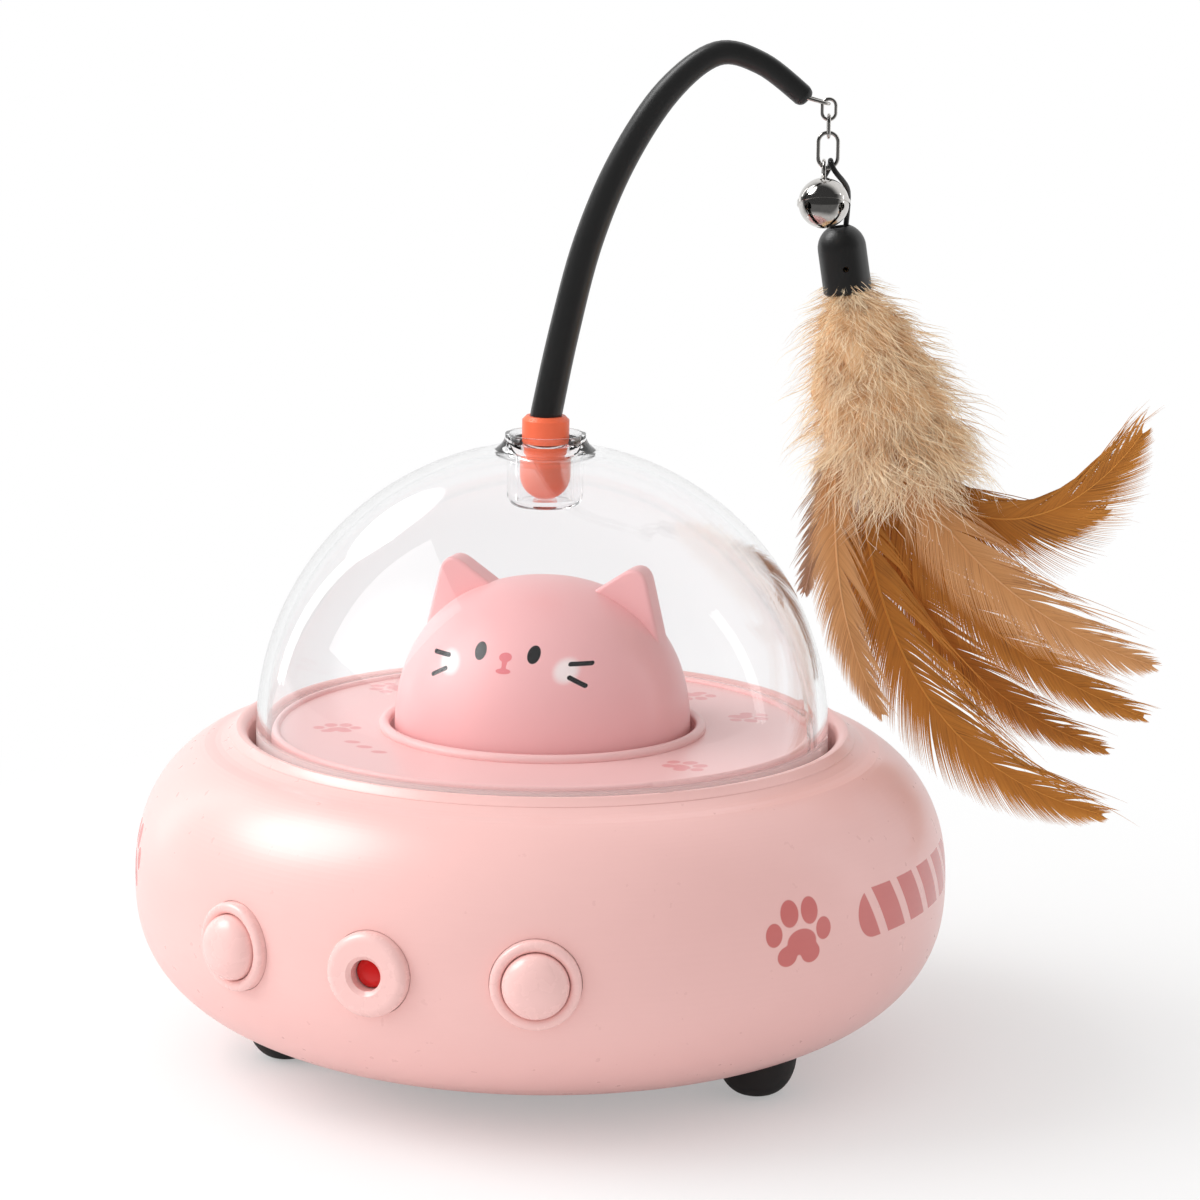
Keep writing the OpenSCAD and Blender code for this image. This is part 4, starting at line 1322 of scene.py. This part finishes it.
@dataclass
class ButtonCap:
    """A domed push-button cap with its flange, which fills the bezel's mouth."""

    radius: float = 6.42
    flange_r: float = 7.1
    flange_t: float = 1.2
    seat: float = 79.5
    edge: float = 83.6
    crown: float = 4.0
    fullness: float = 0.85
    spread: float = 22.5

    def build(self, side: int, body: Body, node: bpy.types.Object) -> bpy.types.Object:
        """Makes the cap on its axis.

        Args:
            side: -1 for the left button, 1 for the right one.
            body: The body that it rides on.
            node: The CAD cap, which gives the height of the axis.

        Returns:
            The cap.
        """
        turns = [math.radians(a) for a in range(0, 91, 5)]
        line = [(0.0, self.seat - self.flange_t), (self.flange_r, self.seat - self.flange_t),
                (self.flange_r, self.seat), (self.radius, self.seat)]
        line += [(self.radius * math.cos(a) ** self.fullness, self.edge + self.crown * math.sin(a))
                 for a in turns[:-1]]
        line.append((0.0, self.edge + self.crown))
        cap = lathe(f"{body.value}_dome", line, 96)
        low, high = node_box(node)
        a = math.radians(self.spread)
        aim = Vector((side * math.sin(a), -math.cos(a), 0))
        place = Matrix.Translation((0, 0, (low.z + high.z) / 2))
        cap.data.transform(place @ aim.to_track_quat("Z", "Y").to_matrix().to_4x4())
        shade_smooth(cap, 40)
        return finish_piece(cap, body, PINK_TRIM, "pink_plastic", f"{body.value}_cap")


@dataclass
class Foot:
    """A domed rubber foot with its pin, in place of a CAD one."""

    flat_r: float = 2.0
    radius: float = 8.0
    round_share: float = 0.92
    pin_r: float = 2.5
    pin: float = 3.0

    def build(self, name: str, node: bpy.types.Object) -> bpy.types.Object:
        """Makes the foot where the CAD node stands.

        Args:
            name: The CAD node's name.
            node: The CAD node.

        Returns:
            The foot.
        """
        low, high = node_box(node)
        top = high.z / MM
        seat = top - self.pin
        wide = self.radius - self.flat_r
        rise = seat * self.round_share
        turns = [math.radians(a) for a in range(0, 91, 6)]
        line = [(0.0, 0.0)]
        line += [(self.flat_r + wide * math.sin(a), rise * (1 - math.cos(a))) for a in turns]
        line += [(self.radius, seat), (self.pin_r, seat), (self.pin_r, top), (0.0, top)]
        foot = lathe(f"{name}_dome", line, 96)
        middle = (low + high) / 2
        foot.data.transform(Matrix.Translation((middle.x, middle.y, 0)))
        shade_smooth(foot, 40)
        return finish_piece(foot, Body.SAUCER, FOOT_RUBBER, "foot_rubber", name)


@dataclass
class StrandMesh:
    """Collects thin tapering strips and makes one mesh of them."""

    points: list[Vector] = field(default_factory=list)
    faces: list[list[int]] = field(default_factory=list)
    tones: list[float] = field(default_factory=list)
    along: list[float] = field(default_factory=list)
    tube_sides: int = 6
    tube_side: Point = (0.3, -1, 0.2)

    def add(self, line: Sequence[Vector], half: Sequence[float], flat: Vector, tone: float) -> None:
        """Adds one strip.

        Args:
            line: Its middle line.
            half: Half its width at each point.
            flat: Direction that it faces.
            tone: Its brightness, 1 for the plain colour.
        """
        start = len(self.points)
        last = len(line) - 1
        for i, (p, ahead, w) in enumerate(zip(line, ways(line), half)):
            side = ahead.cross(flat).normalized() * w
            self.points += [p - side, p + side]
            self.tones += [tone, tone]
            self.along += [i / last, i / last]
        for i in range(last):
            a = start + 2 * i
            self.faces.append([a, a + 1, a + 3, a + 2])

    def add_tube(self, line: Sequence[Vector], radii: Sequence[float], tone: float) -> None:
        """Adds a tapering tube with flat sides.

        Args:
            line: Its middle line.
            radii: Its radius at each point.
            tone: Its brightness.
        """
        start = len(self.points)
        last = len(line) - 1
        count = self.tube_sides
        for i, (p, ahead, r) in enumerate(zip(line, ways(line), radii)):
            self.points += ring(p, ahead, Vector(self.tube_side), r, count)
            self.tones += [tone] * count
            self.along += [i / last] * count
        for i in range(last):
            for j in range(count):
                a, b = start + i * count + j, start + i * count + (j + 1) % count
                self.faces.append([a, b, b + count, a + count])
        self.faces.append([start + j for j in reversed(range(count))])
        self.faces.append([start + last * count + j for j in range(count)])

    def build(self, name: str) -> bpy.types.Object:
        """Makes the piece, with its tone and place along each strip as attributes."""
        piece = mesh_piece(name, self.points, self.faces)
        set_numbers(piece, "tone", self.tones)
        set_numbers(piece, "along", self.along)
        piece.data.polygons.foreach_set("use_smooth", [True] * len(self.faces))
        return piece


@dataclass(frozen=True)
class Plume:
    """One feather: bends and tip from the cap's top, blade width, quill place and habit."""

    bends: tuple[Point, Point, Point]
    width: float
    bundle_angle: float
    bundle_share: float
    finish: Finish
    loose_side: int
    ragged: float
    tone: float = 1.0
    spread: float = 1.0


PLUMES: tuple[Plume, ...] = (
    Plume(((8, -1, -60), (40, -4, -74), (62, -5, -41)), 21, -5, 1, AMBER, -1, 1.0, 0.85, 1.2),
    Plume(((9, -5, -52), (33, -14, -78), (64, -18, -86)), 17, -45, 1, PALE, -1, 0.75, 0.95, 0.95),
    Plume(((5, 0, -54), (24, 0, -86), (65, 1, -101)), 12.5, 0, 0, AMBER, -1, 1.0, 0.95, 1.1),
    Plume(((4, -4, -60), (8, -9, -108), (56, -10, -119)), 17, -90, 1, AMBER, -1, 1.0, 0.95, 1.2),
    Plume(((0, -5, -54), (-3, -14, -74), (10, -17, -97)), 11, -145, 1, PALE, -1, 0.6, 0.9),
    Plume(((0, 5, -54), (-2, 15, -68), (-4, 22, -80)), 8, 150, 1, DULL, 1, 0.6),
    Plume(((8, 6, -58), (36, 10, -70), (57, 13, -60)), 13, 35, 1, AMBER, -1, 0.9, 0.7),
    Plume(((4, 6, -58), (19, 11, -98), (59, 14, -111)), 13, 75, 1, AMBER, -1, 0.9, 0.85),
    Plume(((1, 5, -56), (2, 16, -84), (19, 20, -94)), 10, 112, 1, DULL, 1, 0.8))


@dataclass(frozen=True)
class Habit:
    """How the barbs of one vane lie, with angles in degrees."""

    lock_sizes: Sequence[int]
    turn: float
    narrow: float
    bend: float


LOOSE = Habit((2, 3, 3, 4, 5, 6, 8, 12), 2.2, 0.88, 8)
CLOSED = Habit(range(8, 27), 0.7, 1.0, 7)


@dataclass(frozen=True)
class Lock:
    """Barbs that cling together: their number and what they share."""

    size: int
    turn: float
    grow: float
    shade: float
    lift: float


@dataclass
class Feather:
    """A feather of a tapering shaft and barbs that cling together in groups."""

    number: int
    plume: Plume
    place: WandFrame
    seed: int = 700
    vane_start: float = 0.3
    barb_step: float = 0.33
    bundle_r: float = 1.7
    quill_in: float = 19.18
    quill_sink: float = 0.1
    tip_over: float = 2.2
    steps: int = 60
    root_angle: float = 35.0
    angle_fall: float = 18.0
    bend_more: float = 3.0
    fringe: tuple[float, float] = (0.15, 0.2)
    lock_shade: float = 0.07
    lock_lift: float = 0.05
    barb_turn: float = 0.3
    barb_grow: float = 0.03
    barb_shade: float = 0.2
    barb_lift: tuple[float, float] = (0.07, 0.01)
    barb_roll: tuple[float, float] = (0.15, 0.12)
    barb_half: tuple[float, ...] = (0.13, 0.13, 0.12, 0.105, 0.085, 0.062, 0.038, 0.006)
    stray_share: float = 0.1
    stray_grow: float = 1.25
    root_dark: float = 0.35
    shortest: float = 0.6

    def __post_init__(self) -> None:
        """Works out the shaft's curve."""
        plume, place, start = self.plume, self.place, self.vane_start
        self.dice = random.Random(self.seed + self.number)
        a = math.radians(plume.bundle_angle)
        share = self.bundle_r * plume.bundle_share
        lean = math.tan(math.radians(place.lean))
        root = place.down() * self.quill_in
        root += Vector((share * math.cos(a), share * math.sin(a),
                        share * math.cos(a) * lean - self.quill_sink))
        self.path = [root, *(Vector(b) for b in plume.bends)]
        self.marks = [start + (1 - start) * i / self.steps for i in range(self.steps + 1)]
        self.runs = [0.0]
        for near, far in zip(self.marks, self.marks[1:]):
            self.runs.append(self.runs[-1] + (self.at(far) - self.at(near)).length)
        self.span = self.runs[-1]

    def at(self, t: float) -> Vector:
        """Point of the shaft, in the frame."""
        p = self.path
        local = (p[0] * (1 - t) ** 3 + p[1] * (3 * t * (1 - t) ** 2)
                 + p[2] * (3 * t * t * (1 - t)) + p[3] * t**3)
        return self.place.out(self.place.cap_top + local)

    def way(self, t: float) -> Vector:
        """Direction of the shaft, in the frame."""
        p = self.path
        local = ((p[1] - p[0]) * (1 - t) ** 2 + (p[2] - p[1]) * (2 * t * (1 - t))
                 + (p[3] - p[2]) * t * t)
        return self.place.out(local).normalized()

    def share_at(self, run: float) -> float:
        """Place on the shaft's curve at a distance along the vane."""
        for i in range(1, len(self.runs)):
            if run <= self.runs[i]:
                part = (run - self.runs[i - 1]) / (self.runs[i] - self.runs[i - 1])
                return self.marks[i - 1] + (self.marks[i] - self.marks[i - 1]) * part
        return 1.0

    def half_width(self, run: float) -> float:
        """Half width of the vane's outline at a distance along it."""
        v = min(1.0, max(0.0, run / (self.span + self.tip_over)))
        return self.plume.width / 2 * max(0.0, math.sin(math.pi * v**0.8)) ** 0.6

    def reach(self, run: float, angle: float) -> float:
        """Length of a barb that ends on the vane's outline.

        Args:
            run: Place of its root along the vane.
            angle: Its angle to the shaft, in radians.

        Returns:
            The length.
        """
        low, high = 0.0, self.plume.width * 2
        for _ in range(18):
            middle = (low + high) / 2
            if middle * math.sin(angle) < self.half_width(run + middle * math.cos(angle)):
                low = middle
            else:
                high = middle
        return low

    def build(self) -> bpy.types.Object:
        """Makes the shaft and both vanes.

        Returns:
            The feather.
        """
        strands = StrandMesh()
        ts = [i / 40 for i in range(41)]
        radii = [max(0.09, 0.48 * (1 - t) ** 0.8) for t in ts]
        strands.add_tube([self.at(t) for t in ts], radii, 1.3)
        for side in (-1, 1):
            self._vane(strands, side, int(self.span / self.barb_step))
        piece = strands.build(f"feather_{self.number}_vane")
        return finish_piece(piece, Body.LURE, self.plume.finish, "feather",
                            f"feather_{self.number}")

    def _lock(self, loose: bool) -> Lock:
        """Throws the dice for the next lock of a vane."""
        habit, plume, dice = LOOSE if loose else CLOSED, self.plume, self.dice
        size = dice.choice(habit.lock_sizes)
        turn = dice.gauss(0, habit.turn * plume.ragged)
        grow = plume.spread + dice.gauss(*self.fringe) * plume.ragged if loose else 1.0
        return Lock(size, turn, grow, dice.gauss(0, self.lock_shade), dice.gauss(0, self.lock_lift))

    def _vane(self, strands: StrandMesh, side: int, count: int) -> None:
        """Adds the barbs of one side: a closed vane, or locks that part towards their tips.

        Args:
            strands: Where they go.
            side: -1 or 1, the side of the shaft.
            count: Number of barbs.
        """
        plume, dice = self.plume, self.dice
        loose = side == plume.loose_side
        habit = LOOSE if loose else CLOSED
        facing = self.place.out(Vector((0, -1, 0.15)))
        lock = self._lock(loose)
        place_in_lock = 0
        for k in range(count):
            v = k / (count - 1)
            if place_in_lock == lock.size:
                place_in_lock = 0
                lock = self._lock(loose)
            off = place_in_lock - (lock.size - 1) / 2
            place_in_lock += 1
            run = self.span * v * 0.992
            t = self.share_at(run)
            way = self.way(t)
            across = way.cross(facing).normalized() * side
            normal = across.cross(way).normalized() * side
            mean = (self.root_angle - self.angle_fall * v) * habit.narrow
            mean += lock.turn + dice.gauss(0, self.barb_turn)
            length = self.reach(run, math.radians(mean)) * (1 + dice.gauss(0, self.barb_grow))
            length *= 1 + (lock.grow - 1) * ease(v / 0.2) * (1 - ease((v - 0.86) / 0.14))
            if loose:
                length *= 1.08 - 0.38 * (2 * off / lock.size) ** 2
            stray = loose and dice.random() < self.stray_share * plume.ragged
            length *= self.stray_grow if stray and v < 0.85 else 1.0
            # barbs are darker near the shaft's root
            near_root = 1 - ease(v / 0.16)
            tone = plume.tone + lock.shade + dice.gauss(0, self.barb_shade) - self.root_dark * near_root
            bend = habit.bend + self.bend_more * v
            cling = min(0.95, 1.05 - 0.03 * lock.size) * plume.ragged if loose else 0.12
            gather = 0.0 if stray else -off * self.barb_step * cling
            lift, play = self.barb_lift
            self._barb(strands, self.at(t), (way, across, normal), max(self.shortest, length),
                       (mean + bend, mean - bend), lock.lift + lift + dice.gauss(0, play), tone,
                       gather)

    def _barb(
        self,
        strands: StrandMesh,
        root: Vector,
        axes: tuple[Vector, Vector, Vector],
        length: float,
        angles: tuple[float, float],
        lift: float,
        tone: float,
        gather: float,
    ) -> None:
        """Adds one barb, which curves towards the feather's tip.

        Args:
            strands: Where it goes.
            root: Its place on the shaft.
            axes: Along the shaft, across it, and out of the vane.
            length: Its length.
            angles: Its angle to the shaft at its root and its tip, in degrees.
            lift: How far its tip leaves the vane, as a share of its length.
            tone: Its brightness.
            gather: How far its tip moves along the shaft to meet its lock.
        """
        way, across, normal = axes
        steps = len(self.barb_half) - 1
        p = root.copy()
        line = [p.copy()]
        for i in range(steps):
            s = (i + 0.5) / steps
            a = math.radians(angles[0] + (angles[1] - angles[0]) * s)
            p += (way * math.cos(a) + across * math.sin(a)) * (length / steps)
            p += way * (gather * (ease((i + 1) / steps * 1.5 - 0.45) - ease(i / steps * 1.5 - 0.45)))
            p -= normal * (lift * length * 2 * s / steps)
            line.append(p.copy())
        roll = normal + across * self.dice.gauss(*self.barb_roll)
        strands.add(line, self.barb_half, roll, tone)


@dataclass
class Down:
    """The tuft of down under the cap: a soft core and thousands of fine curled fibres."""

    place: WandFrame
    seed: int = 41
    cap_h: float = 14.0
    length: float = 37.0
    radius: float = 19.0
    tufts: int = 1700
    fibres_in_tuft: int = 9
    wisps: int = 1500
    drift: float = 4.5
    left: float = 0.8
    core_steps: int = 21
    core_sides: int = 48
    core_share: float = 0.6
    core_end: float = 0.25
    tuft_depth: tuple[float, float] = (0.38, 0.7)
    tuft_lift: tuple[float, float] = (0.5, 1.7)
    tuft_tone: tuple[float, float] = (1.0, 0.14)
    trim: tuple[float, float] = (0.6, 1.2)
    wisp_depth: tuple[float, float] = (0.55, 0.85)
    wisp_long: tuple[float, float] = (7, 13)
    wisp_lift: tuple[float, float] = (1.0, 2.6)
    wisp_tone: tuple[float, float] = (0.75, 0.2)
    fibre_half: tuple[float, ...] = (0.07, 0.066, 0.06, 0.052, 0.042, 0.03, 0.006)
    shape: tuple[tuple[float, float], ...] = (
        (-0.04, 0.22), (0.05, 0.36), (0.14, 0.58), (0.29, 0.77), (0.45, 0.89), (0.64, 1.0),
        (0.82, 1.0), (1.0, 0.92))

    def __post_init__(self) -> None:
        """Takes its own dice and fixes the noise that the fibres drift in."""
        self.dice = random.Random(self.seed)
        noise.seed_set(self.seed)

    def girth(self, share: float) -> float:
        """Half width of the tuft at a share of its length."""
        line = self.shape
        for (s0, r0), (s1, r1) in zip(line, line[1:]):
            if share <= s1:
                return self.radius * (r0 + (r1 - r0) * (share - s0) / (s1 - s0))
        return self.radius * line[-1][1]

    def core(self) -> bpy.types.Object:
        """The inside of the tuft, painted darker as shade, which shows between the fibres.

        Returns:
            The core.
        """
        count, last = self.core_sides, self.core_steps
        rings = []
        for i in range(last + 1):
            share = -0.04 + 0.94 * i / last
            radius = self.girth(share) * (self.core_share if i < last else self.core_end)
            points = []
            for j in range(count):
                a = math.tau * j / count
                puff = 1 + 0.09 * math.sin(3 * a + 9 * share) + 0.06 * math.sin(7 * a - 15 * share)
                puff += 0.04 * math.sin(13 * a + 22 * share)
                z = -self.cap_h - share * self.length
                push = Vector((self.drift * max(0.0, share), 0, z))
                points.append(self.place.hung(Vector((math.cos(a), -math.sin(a), 0))
                                              * radius * puff + push))
            rings.append(points)
        core = loft("down_core", rings)
        # painted shade: the core's lower tone darkens it like the shade deep inside the tuft
        for key, value in (("tone", 0.7), ("along", 0.2)):
            set_numbers(core, key, [value] * len(core.data.vertices))
        shade_smooth(core, 80)
        return finish_piece(core, Body.LURE, DOWN, "down", "down_skirt")

    def fluff(self) -> bpy.types.Object:
        """The fibres, in tufts that part and curl.

        Returns:
            The fibres, as one piece.
        """
        strands = StrandMesh()
        dice = self.dice
        for _ in range(self.tufts):
            share = dice.random() ** 0.95 * 1.1 - 0.1
            angle = dice.uniform(0, math.tau)
            lean = dice.gauss(0, 0.5)
            long = 4.5 + 6.5 * ease(share * 1.2) + 5 * ease(share * 3 - 2)
            long *= dice.uniform(*self.trim)
            lift = dice.uniform(*self.tuft_lift) * (1.1 - 0.5 * share)
            tone = dice.gauss(*self.tuft_tone)
            depth = dice.uniform(*self.tuft_depth)
            for _ in range(self.fibres_in_tuft):
                self._fibre(strands, share + dice.gauss(0, 0.025), angle + dice.gauss(0, 0.1),
                            depth, lean + dice.gauss(0, 0.3), long * dice.uniform(*self.trim),
                            lift + dice.gauss(0, 0.3), tone + dice.gauss(0, 0.08))
        piece = strands.build("down_fluff")
        return finish_piece(piece, Body.LURE, DOWN, "down", "down_skirt")

    def halo(self) -> bpy.types.Object:
        """The long thin wisps that stand off the tuft's outline.

        Returns:
            The wisps, as one piece.
        """
        strands = StrandMesh()
        dice = self.dice
        for _ in range(self.wisps):
            share = dice.random() * 1.08 - 0.1
            self._fibre(strands, share, dice.uniform(0, math.tau), dice.uniform(*self.wisp_depth),
                        dice.gauss(0, 0.7), dice.uniform(*self.wisp_long) * (0.75 + 0.4 * share),
                        dice.uniform(*self.wisp_lift) * (1.15 - 0.5 * share),
                        dice.gauss(*self.wisp_tone))
        piece = strands.build("down_wisps")
        return finish_piece(piece, Body.LURE, DOWN, "down", "down_skirt")

    def _fibre(
        self, strands: StrandMesh, share: float, angle: float, depth: float, lean: float,
        long: float, lift: float, tone: float,
    ) -> None:
        """Adds one fibre.

        Args:
            strands: Where it goes.
            share: Place of its root along the tuft.
            angle: Place of its root round the tuft, in radians.
            depth: Place of its root between the middle and the skin.
            lean: How far it leans sideways.
            long: Its length.
            lift: How far it stands off the tuft.
            tone: Its brightness.
        """
        dice = self.dice
        out = Vector((math.cos(angle), -math.sin(angle), 0))
        aside = Vector((math.sin(angle), math.cos(angle), 0))
        p = out * self.girth(share) * depth + Vector((0, 0, -self.cap_h - share * self.length))
        p.x = p.x * (self.left if p.x < 0 else 1.0) + self.drift * max(0.0, share)
        steps = len(self.fibre_half) - 1
        curl = dice.gauss(0, 0.45)
        wave = dice.uniform(0, math.tau)
        line = [self.place.hung(p)]
        for i in range(steps):
            s = (i + 0.5) / steps
            swirl = noise.noise_vector(p * 0.2) * 0.9
            way = Vector((0, 0, -0.8)) + out * (lift * (1.2 - 0.8 * s)) + swirl
            way += aside * (lean + curl * s + 0.3 * math.sin(wave + 8 * s))
            way.normalize()
            p = p + way * (long / steps)
            line.append(self.place.hung(p))
        flat = self.place.out(out + aside * dice.gauss(0, 0.8))
        strands.add(line, self.fibre_half, flat, tone)


@dataclass
class LureCord:
    """The black cord loop from the lowest link into the cap."""

    place: WandFrame
    diameter: float = 1.1
    neck: float = 0.72
    loop_w: float = 4.2
    leg_gap: float = 0.85
    roof: float = 5.2
    end_in: float = 0.5
    points: int = 60

    def line(self) -> list[Vector]:
        """Middle line of the loop, from one leg in the cap to the other.

        Returns:
            Points in millimetres.
        """
        place = self.place
        end = place.cap_top + place.down() * (self.roof + self.end_in)
        out = []
        for i in range(self.points + 1):
            degrees = 360 * i / self.points - 180
            a = math.radians(degrees)
            s = (1 - math.cos(a)) / 2
            turn = math.radians(90 * (1 - ease(s / 0.45)))
            wide = self.loop_w * math.sin(a) * max(0.0, 0.45 + 0.55 * math.cos(a))
            wide += math.copysign(self.leg_gap * ease(s), degrees) if degrees else 0.0
            if s < self.neck:
                c = place.cord_top.lerp(place.cap_top, s / self.neck)
            else:
                c = place.cap_top.lerp(end, (s - self.neck) / (1 - self.neck))
            out.append(place.out(c + wide * Vector((math.cos(turn), -math.sin(turn), 0))))
        return out

    def build(self) -> bpy.types.Object:
        """Returns:
            The loop.
        """
        line = self.line()
        clear_selection()
        bpy.ops.curve.primitive_nurbs_path_add()
        loop = bpy.context.object
        loop.name = "lure_loop"
        loop.data.splines.clear()
        spline = loop.data.splines.new("POLY")
        spline.points.add(len(line) - 1)
        for knot, p in zip(spline.points, line):
            knot.co = (*(p * MM), 1.0)
        loop.data.dimensions = "3D"
        loop.data.bevel_depth = self.diameter / 2 * MM
        loop.data.bevel_resolution = 5
        loop.data.use_fill_caps = True
        finish_piece(loop, Body.LURE, CORD, "cord", "lure_cord")
        length = sum((b - a).length for a, b in zip(line, line[1:])) * MM
        tuple(line[0] * MM)
        return loop


@dataclass(frozen=True)
class SkyPatch:
    """A round patch of light in the world, with the cosines at its edge and where it is full."""

    aim: Point
    edge: float
    full: float
    gain: float

    def light(self, graph: Graph, way: tuple[Wire, Wire, Wire]) -> Wire:
        """Light of the patch.

        Args:
            graph: Node tree of the world.
            way: Direction that is looked in.

        Returns:
            Its strength.
        """
        parts = [w * a for w, a in zip(way, Vector(self.aim).normalized())]
        return graph.fade(parts[0] + parts[1] + parts[2], self.edge, self.full) * self.gain


@dataclass(frozen=True)
class Lamp:
    """A soft lamp: place, the point that it faces, sides, power, and whether it is mirrored."""

    name: str
    place: Point
    aim: Point
    size: tuple[float, float]
    watts: float
    mirrored: bool

    def build(self) -> None:
        """Makes the lamp."""
        data = bpy.data.lights.new(self.name, "AREA")
        data.shape = "RECTANGLE"
        data.size, data.size_y = self.size
        data.energy = self.watts
        lamp = bpy.data.objects.new(self.name, data)
        turn = (Vector(self.aim) - Vector(self.place)).to_track_quat("-Z", "Y")
        lamp.matrix_world = Matrix.Translation(self.place) @ turn.to_matrix().to_4x4()
        lamp.visible_camera = False
        lamp.visible_glossy = self.mirrored
        bpy.context.scene.collection.objects.link(lamp)


@dataclass
class Studio:
    """Camera, floor, world and lamps."""

    heading: float = 23.0
    elevation: float = 14.1
    distance: float = 1.0
    focal_pixels: float = 4900.0
    frame_pixels: float = 1200.0
    sensor: float = 36.0
    roll: float = 0.78
    target: Point = (0.0, 0.0, 0.05)
    target_pixel: tuple[float, float] = (541.4, 813.4)
    soft_key: Point = (-0.55, -0.6, 0.6)
    key_gain: float = 0.78
    ambient: float = 0.56
    room: float = 0.05
    inside: float = 0.5
    box: SkyPatch = SkyPatch((-0.68, -0.16, 0.715), 0.93, 0.985, 9.0)
    cheek: SkyPatch = SkyPatch((-0.721, -0.541, 0.422), 0.84, 0.97, 2.6)
    window: SkyPatch = SkyPatch((-0.731, 0.419, 0.539), 0.977, 0.988, 9.0)
    lamps: tuple[Lamp, ...] = (
        Lamp("key", (-0.95, -0.45, 0.85), (0, 0, 0.06), (1.0, 1.0), 9.0, False),
        Lamp("left_strip", (-0.95, 0.35, 0.4), (0, 0, 0.09), (0.08, 0.8), 0.5, True),
        Lamp("right_strip", (0.95, 0.55, 0.4), (0, 0, 0.09), (0.06, 0.7), 0.35, True))
    floor_size: float = 12.0
    floor_drop: float = 0.0001

    def camera(self) -> None:
        """Places the camera as the photograph shows the toy."""
        az, el = math.radians(self.heading), math.radians(self.elevation)
        back = Vector((math.sin(az) * math.cos(el), -math.cos(az) * math.cos(el), math.sin(el)))
        target = Vector(self.target)
        eye = target + back * self.distance
        half = self.frame_pixels / 2
        ahead = -back
        for _ in range(12):
            right, up = self._upright(ahead)
            seen = target - eye
            depth = seen.dot(ahead)
            miss_x = half + self.focal_pixels * seen.dot(right) / depth - self.target_pixel[0]
            miss_y = half - self.focal_pixels * seen.dot(up) / depth - self.target_pixel[1]
            ahead = (ahead + (right * miss_x - up * miss_y) / self.focal_pixels).normalized()
        right, up = self._upright(ahead)
        data = bpy.data.cameras.new("photo_camera")
        data.sensor_width = self.sensor
        data.lens = self.focal_pixels / self.frame_pixels * self.sensor
        data.clip_start = 0.05
        data.clip_end = 50
        camera = bpy.data.objects.new("photo_camera", data)
        turn = Matrix((right, up, -ahead)).transposed().to_4x4()
        camera.matrix_world = Matrix.Translation(eye) @ turn
        bpy.context.scene.collection.objects.link(camera)
        bpy.context.scene.camera = camera

    def _upright(self, ahead: Vector) -> tuple[Vector, Vector]:
        """Right and up directions of the camera, with its slight roll."""
        level = ahead.cross(UP).normalized()
        rise = level.cross(ahead)
        a = math.radians(self.roll)
        return level * math.cos(a) + rise * math.sin(a), rise * math.cos(a) - level * math.sin(a)

    def floor(self) -> None:
        """A wide pale floor under the feet."""
        clear_selection()
        bpy.ops.mesh.primitive_plane_add(size=self.floor_size)
        floor = bpy.context.object
        floor.name = "floor"
        floor.data.transform(Matrix.Translation((0, 0, -self.floor_drop)))
        Floor("pale_floor").dress(floor)

    def world(self) -> None:
        """White backdrop for the eye, with a soft light that is stronger from the upper left."""
        world = bpy.data.worlds.new("studio")
        bpy.context.scene.world = world
        graph = Graph(world)
        way = graph.axes(graph.node("ShaderNodeTexCoord", out="Generated"))
        camera, mirror, through, singular, glass_depth, gloss_depth = graph.rays(
            "Is Camera Ray", "Is Glossy Ray", "Is Transmission Ray", "Is Singular Ray",
            "Transmission Depth", "Glossy Depth")
        x, y, z = (w * k for w, k in zip(way, Vector(self.soft_key).normalized()))
        soft = (x + y + z).most(0.0).squared() * self.key_gain + self.ambient
        backdrop = graph.fade(way[1], -0.1, 0.6) * (1 - self.room) + self.room
        inner = glass_depth > 0.5
        plain = gloss_depth < 0.5
        sharp = singular * mirror * (1.0 - through)
        box, window, cheek = (p.light(graph, way) for p in (self.box, self.window, self.cheek))
        seen = camera.most(through) * plain
        gloss = mirror.most(through)  # a ray that glass lets through counts as both
        shine = backdrop.most(inner * self.inside) + sharp * window
        shine = shine + (1.0 - sharp) * (inner * cheek + (1.0 - inner) * box)
        strength = seen + (1.0 - seen) * (gloss * shine + (1.0 - gloss) * soft)
        sockets = {"Color": (1, 1, 1, 1), "Strength": strength}
        light = graph.node("ShaderNodeBackground", None, sockets)
        graph.output(light, "ShaderNodeOutputWorld")

    def build(self) -> None:
        """Makes the whole studio."""
        self.camera()
        self.floor()
        self.world()
        for lamp in self.lamps:
            lamp.build()
        bpy.context.scene.view_settings.view_transform = "Standard"


def dress_nodes(nodes: Mapping[str, bpy.types.Object]) -> None:
    """Gives every CAD node that stays in sight its finish."""
    for finish, names in NODE_FINISH.items():
        for name in names:
            finish.dress(nodes[name])
            log.info("%s has the finish %s", name, finish.name)


def main() -> None:
    """Builds the scene around the frame."""
    logging.basicConfig(level=logging.INFO, format="%(message)s")
    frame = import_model()
    place = WandFrame()
    Studio().build()
    LureCord(place).build()
    dress_nodes(frame["nodes"])
    for name in FEET:
        Foot().build(name, frame["nodes"][name])
    for side, body in ((-1, Body.LEFT_BUTTON), (1, Body.RIGHT_BUTTON)):
        ButtonCap().build(side, body, frame["nodes"][f"{body.value}_cap"])
    Head().build()
    Clip().build(place.heading)
    wand = Wand(place)
    wand.rod()
    wand.eye()
    BellCup(place).build()
    for number, plume in enumerate(PLUMES, start=1):
        Feather(number, plume, place).build()
    down = Down(place)
    down.core()
    down.fluff()
    down.halo()


if __name__ == "__main__":
    main()
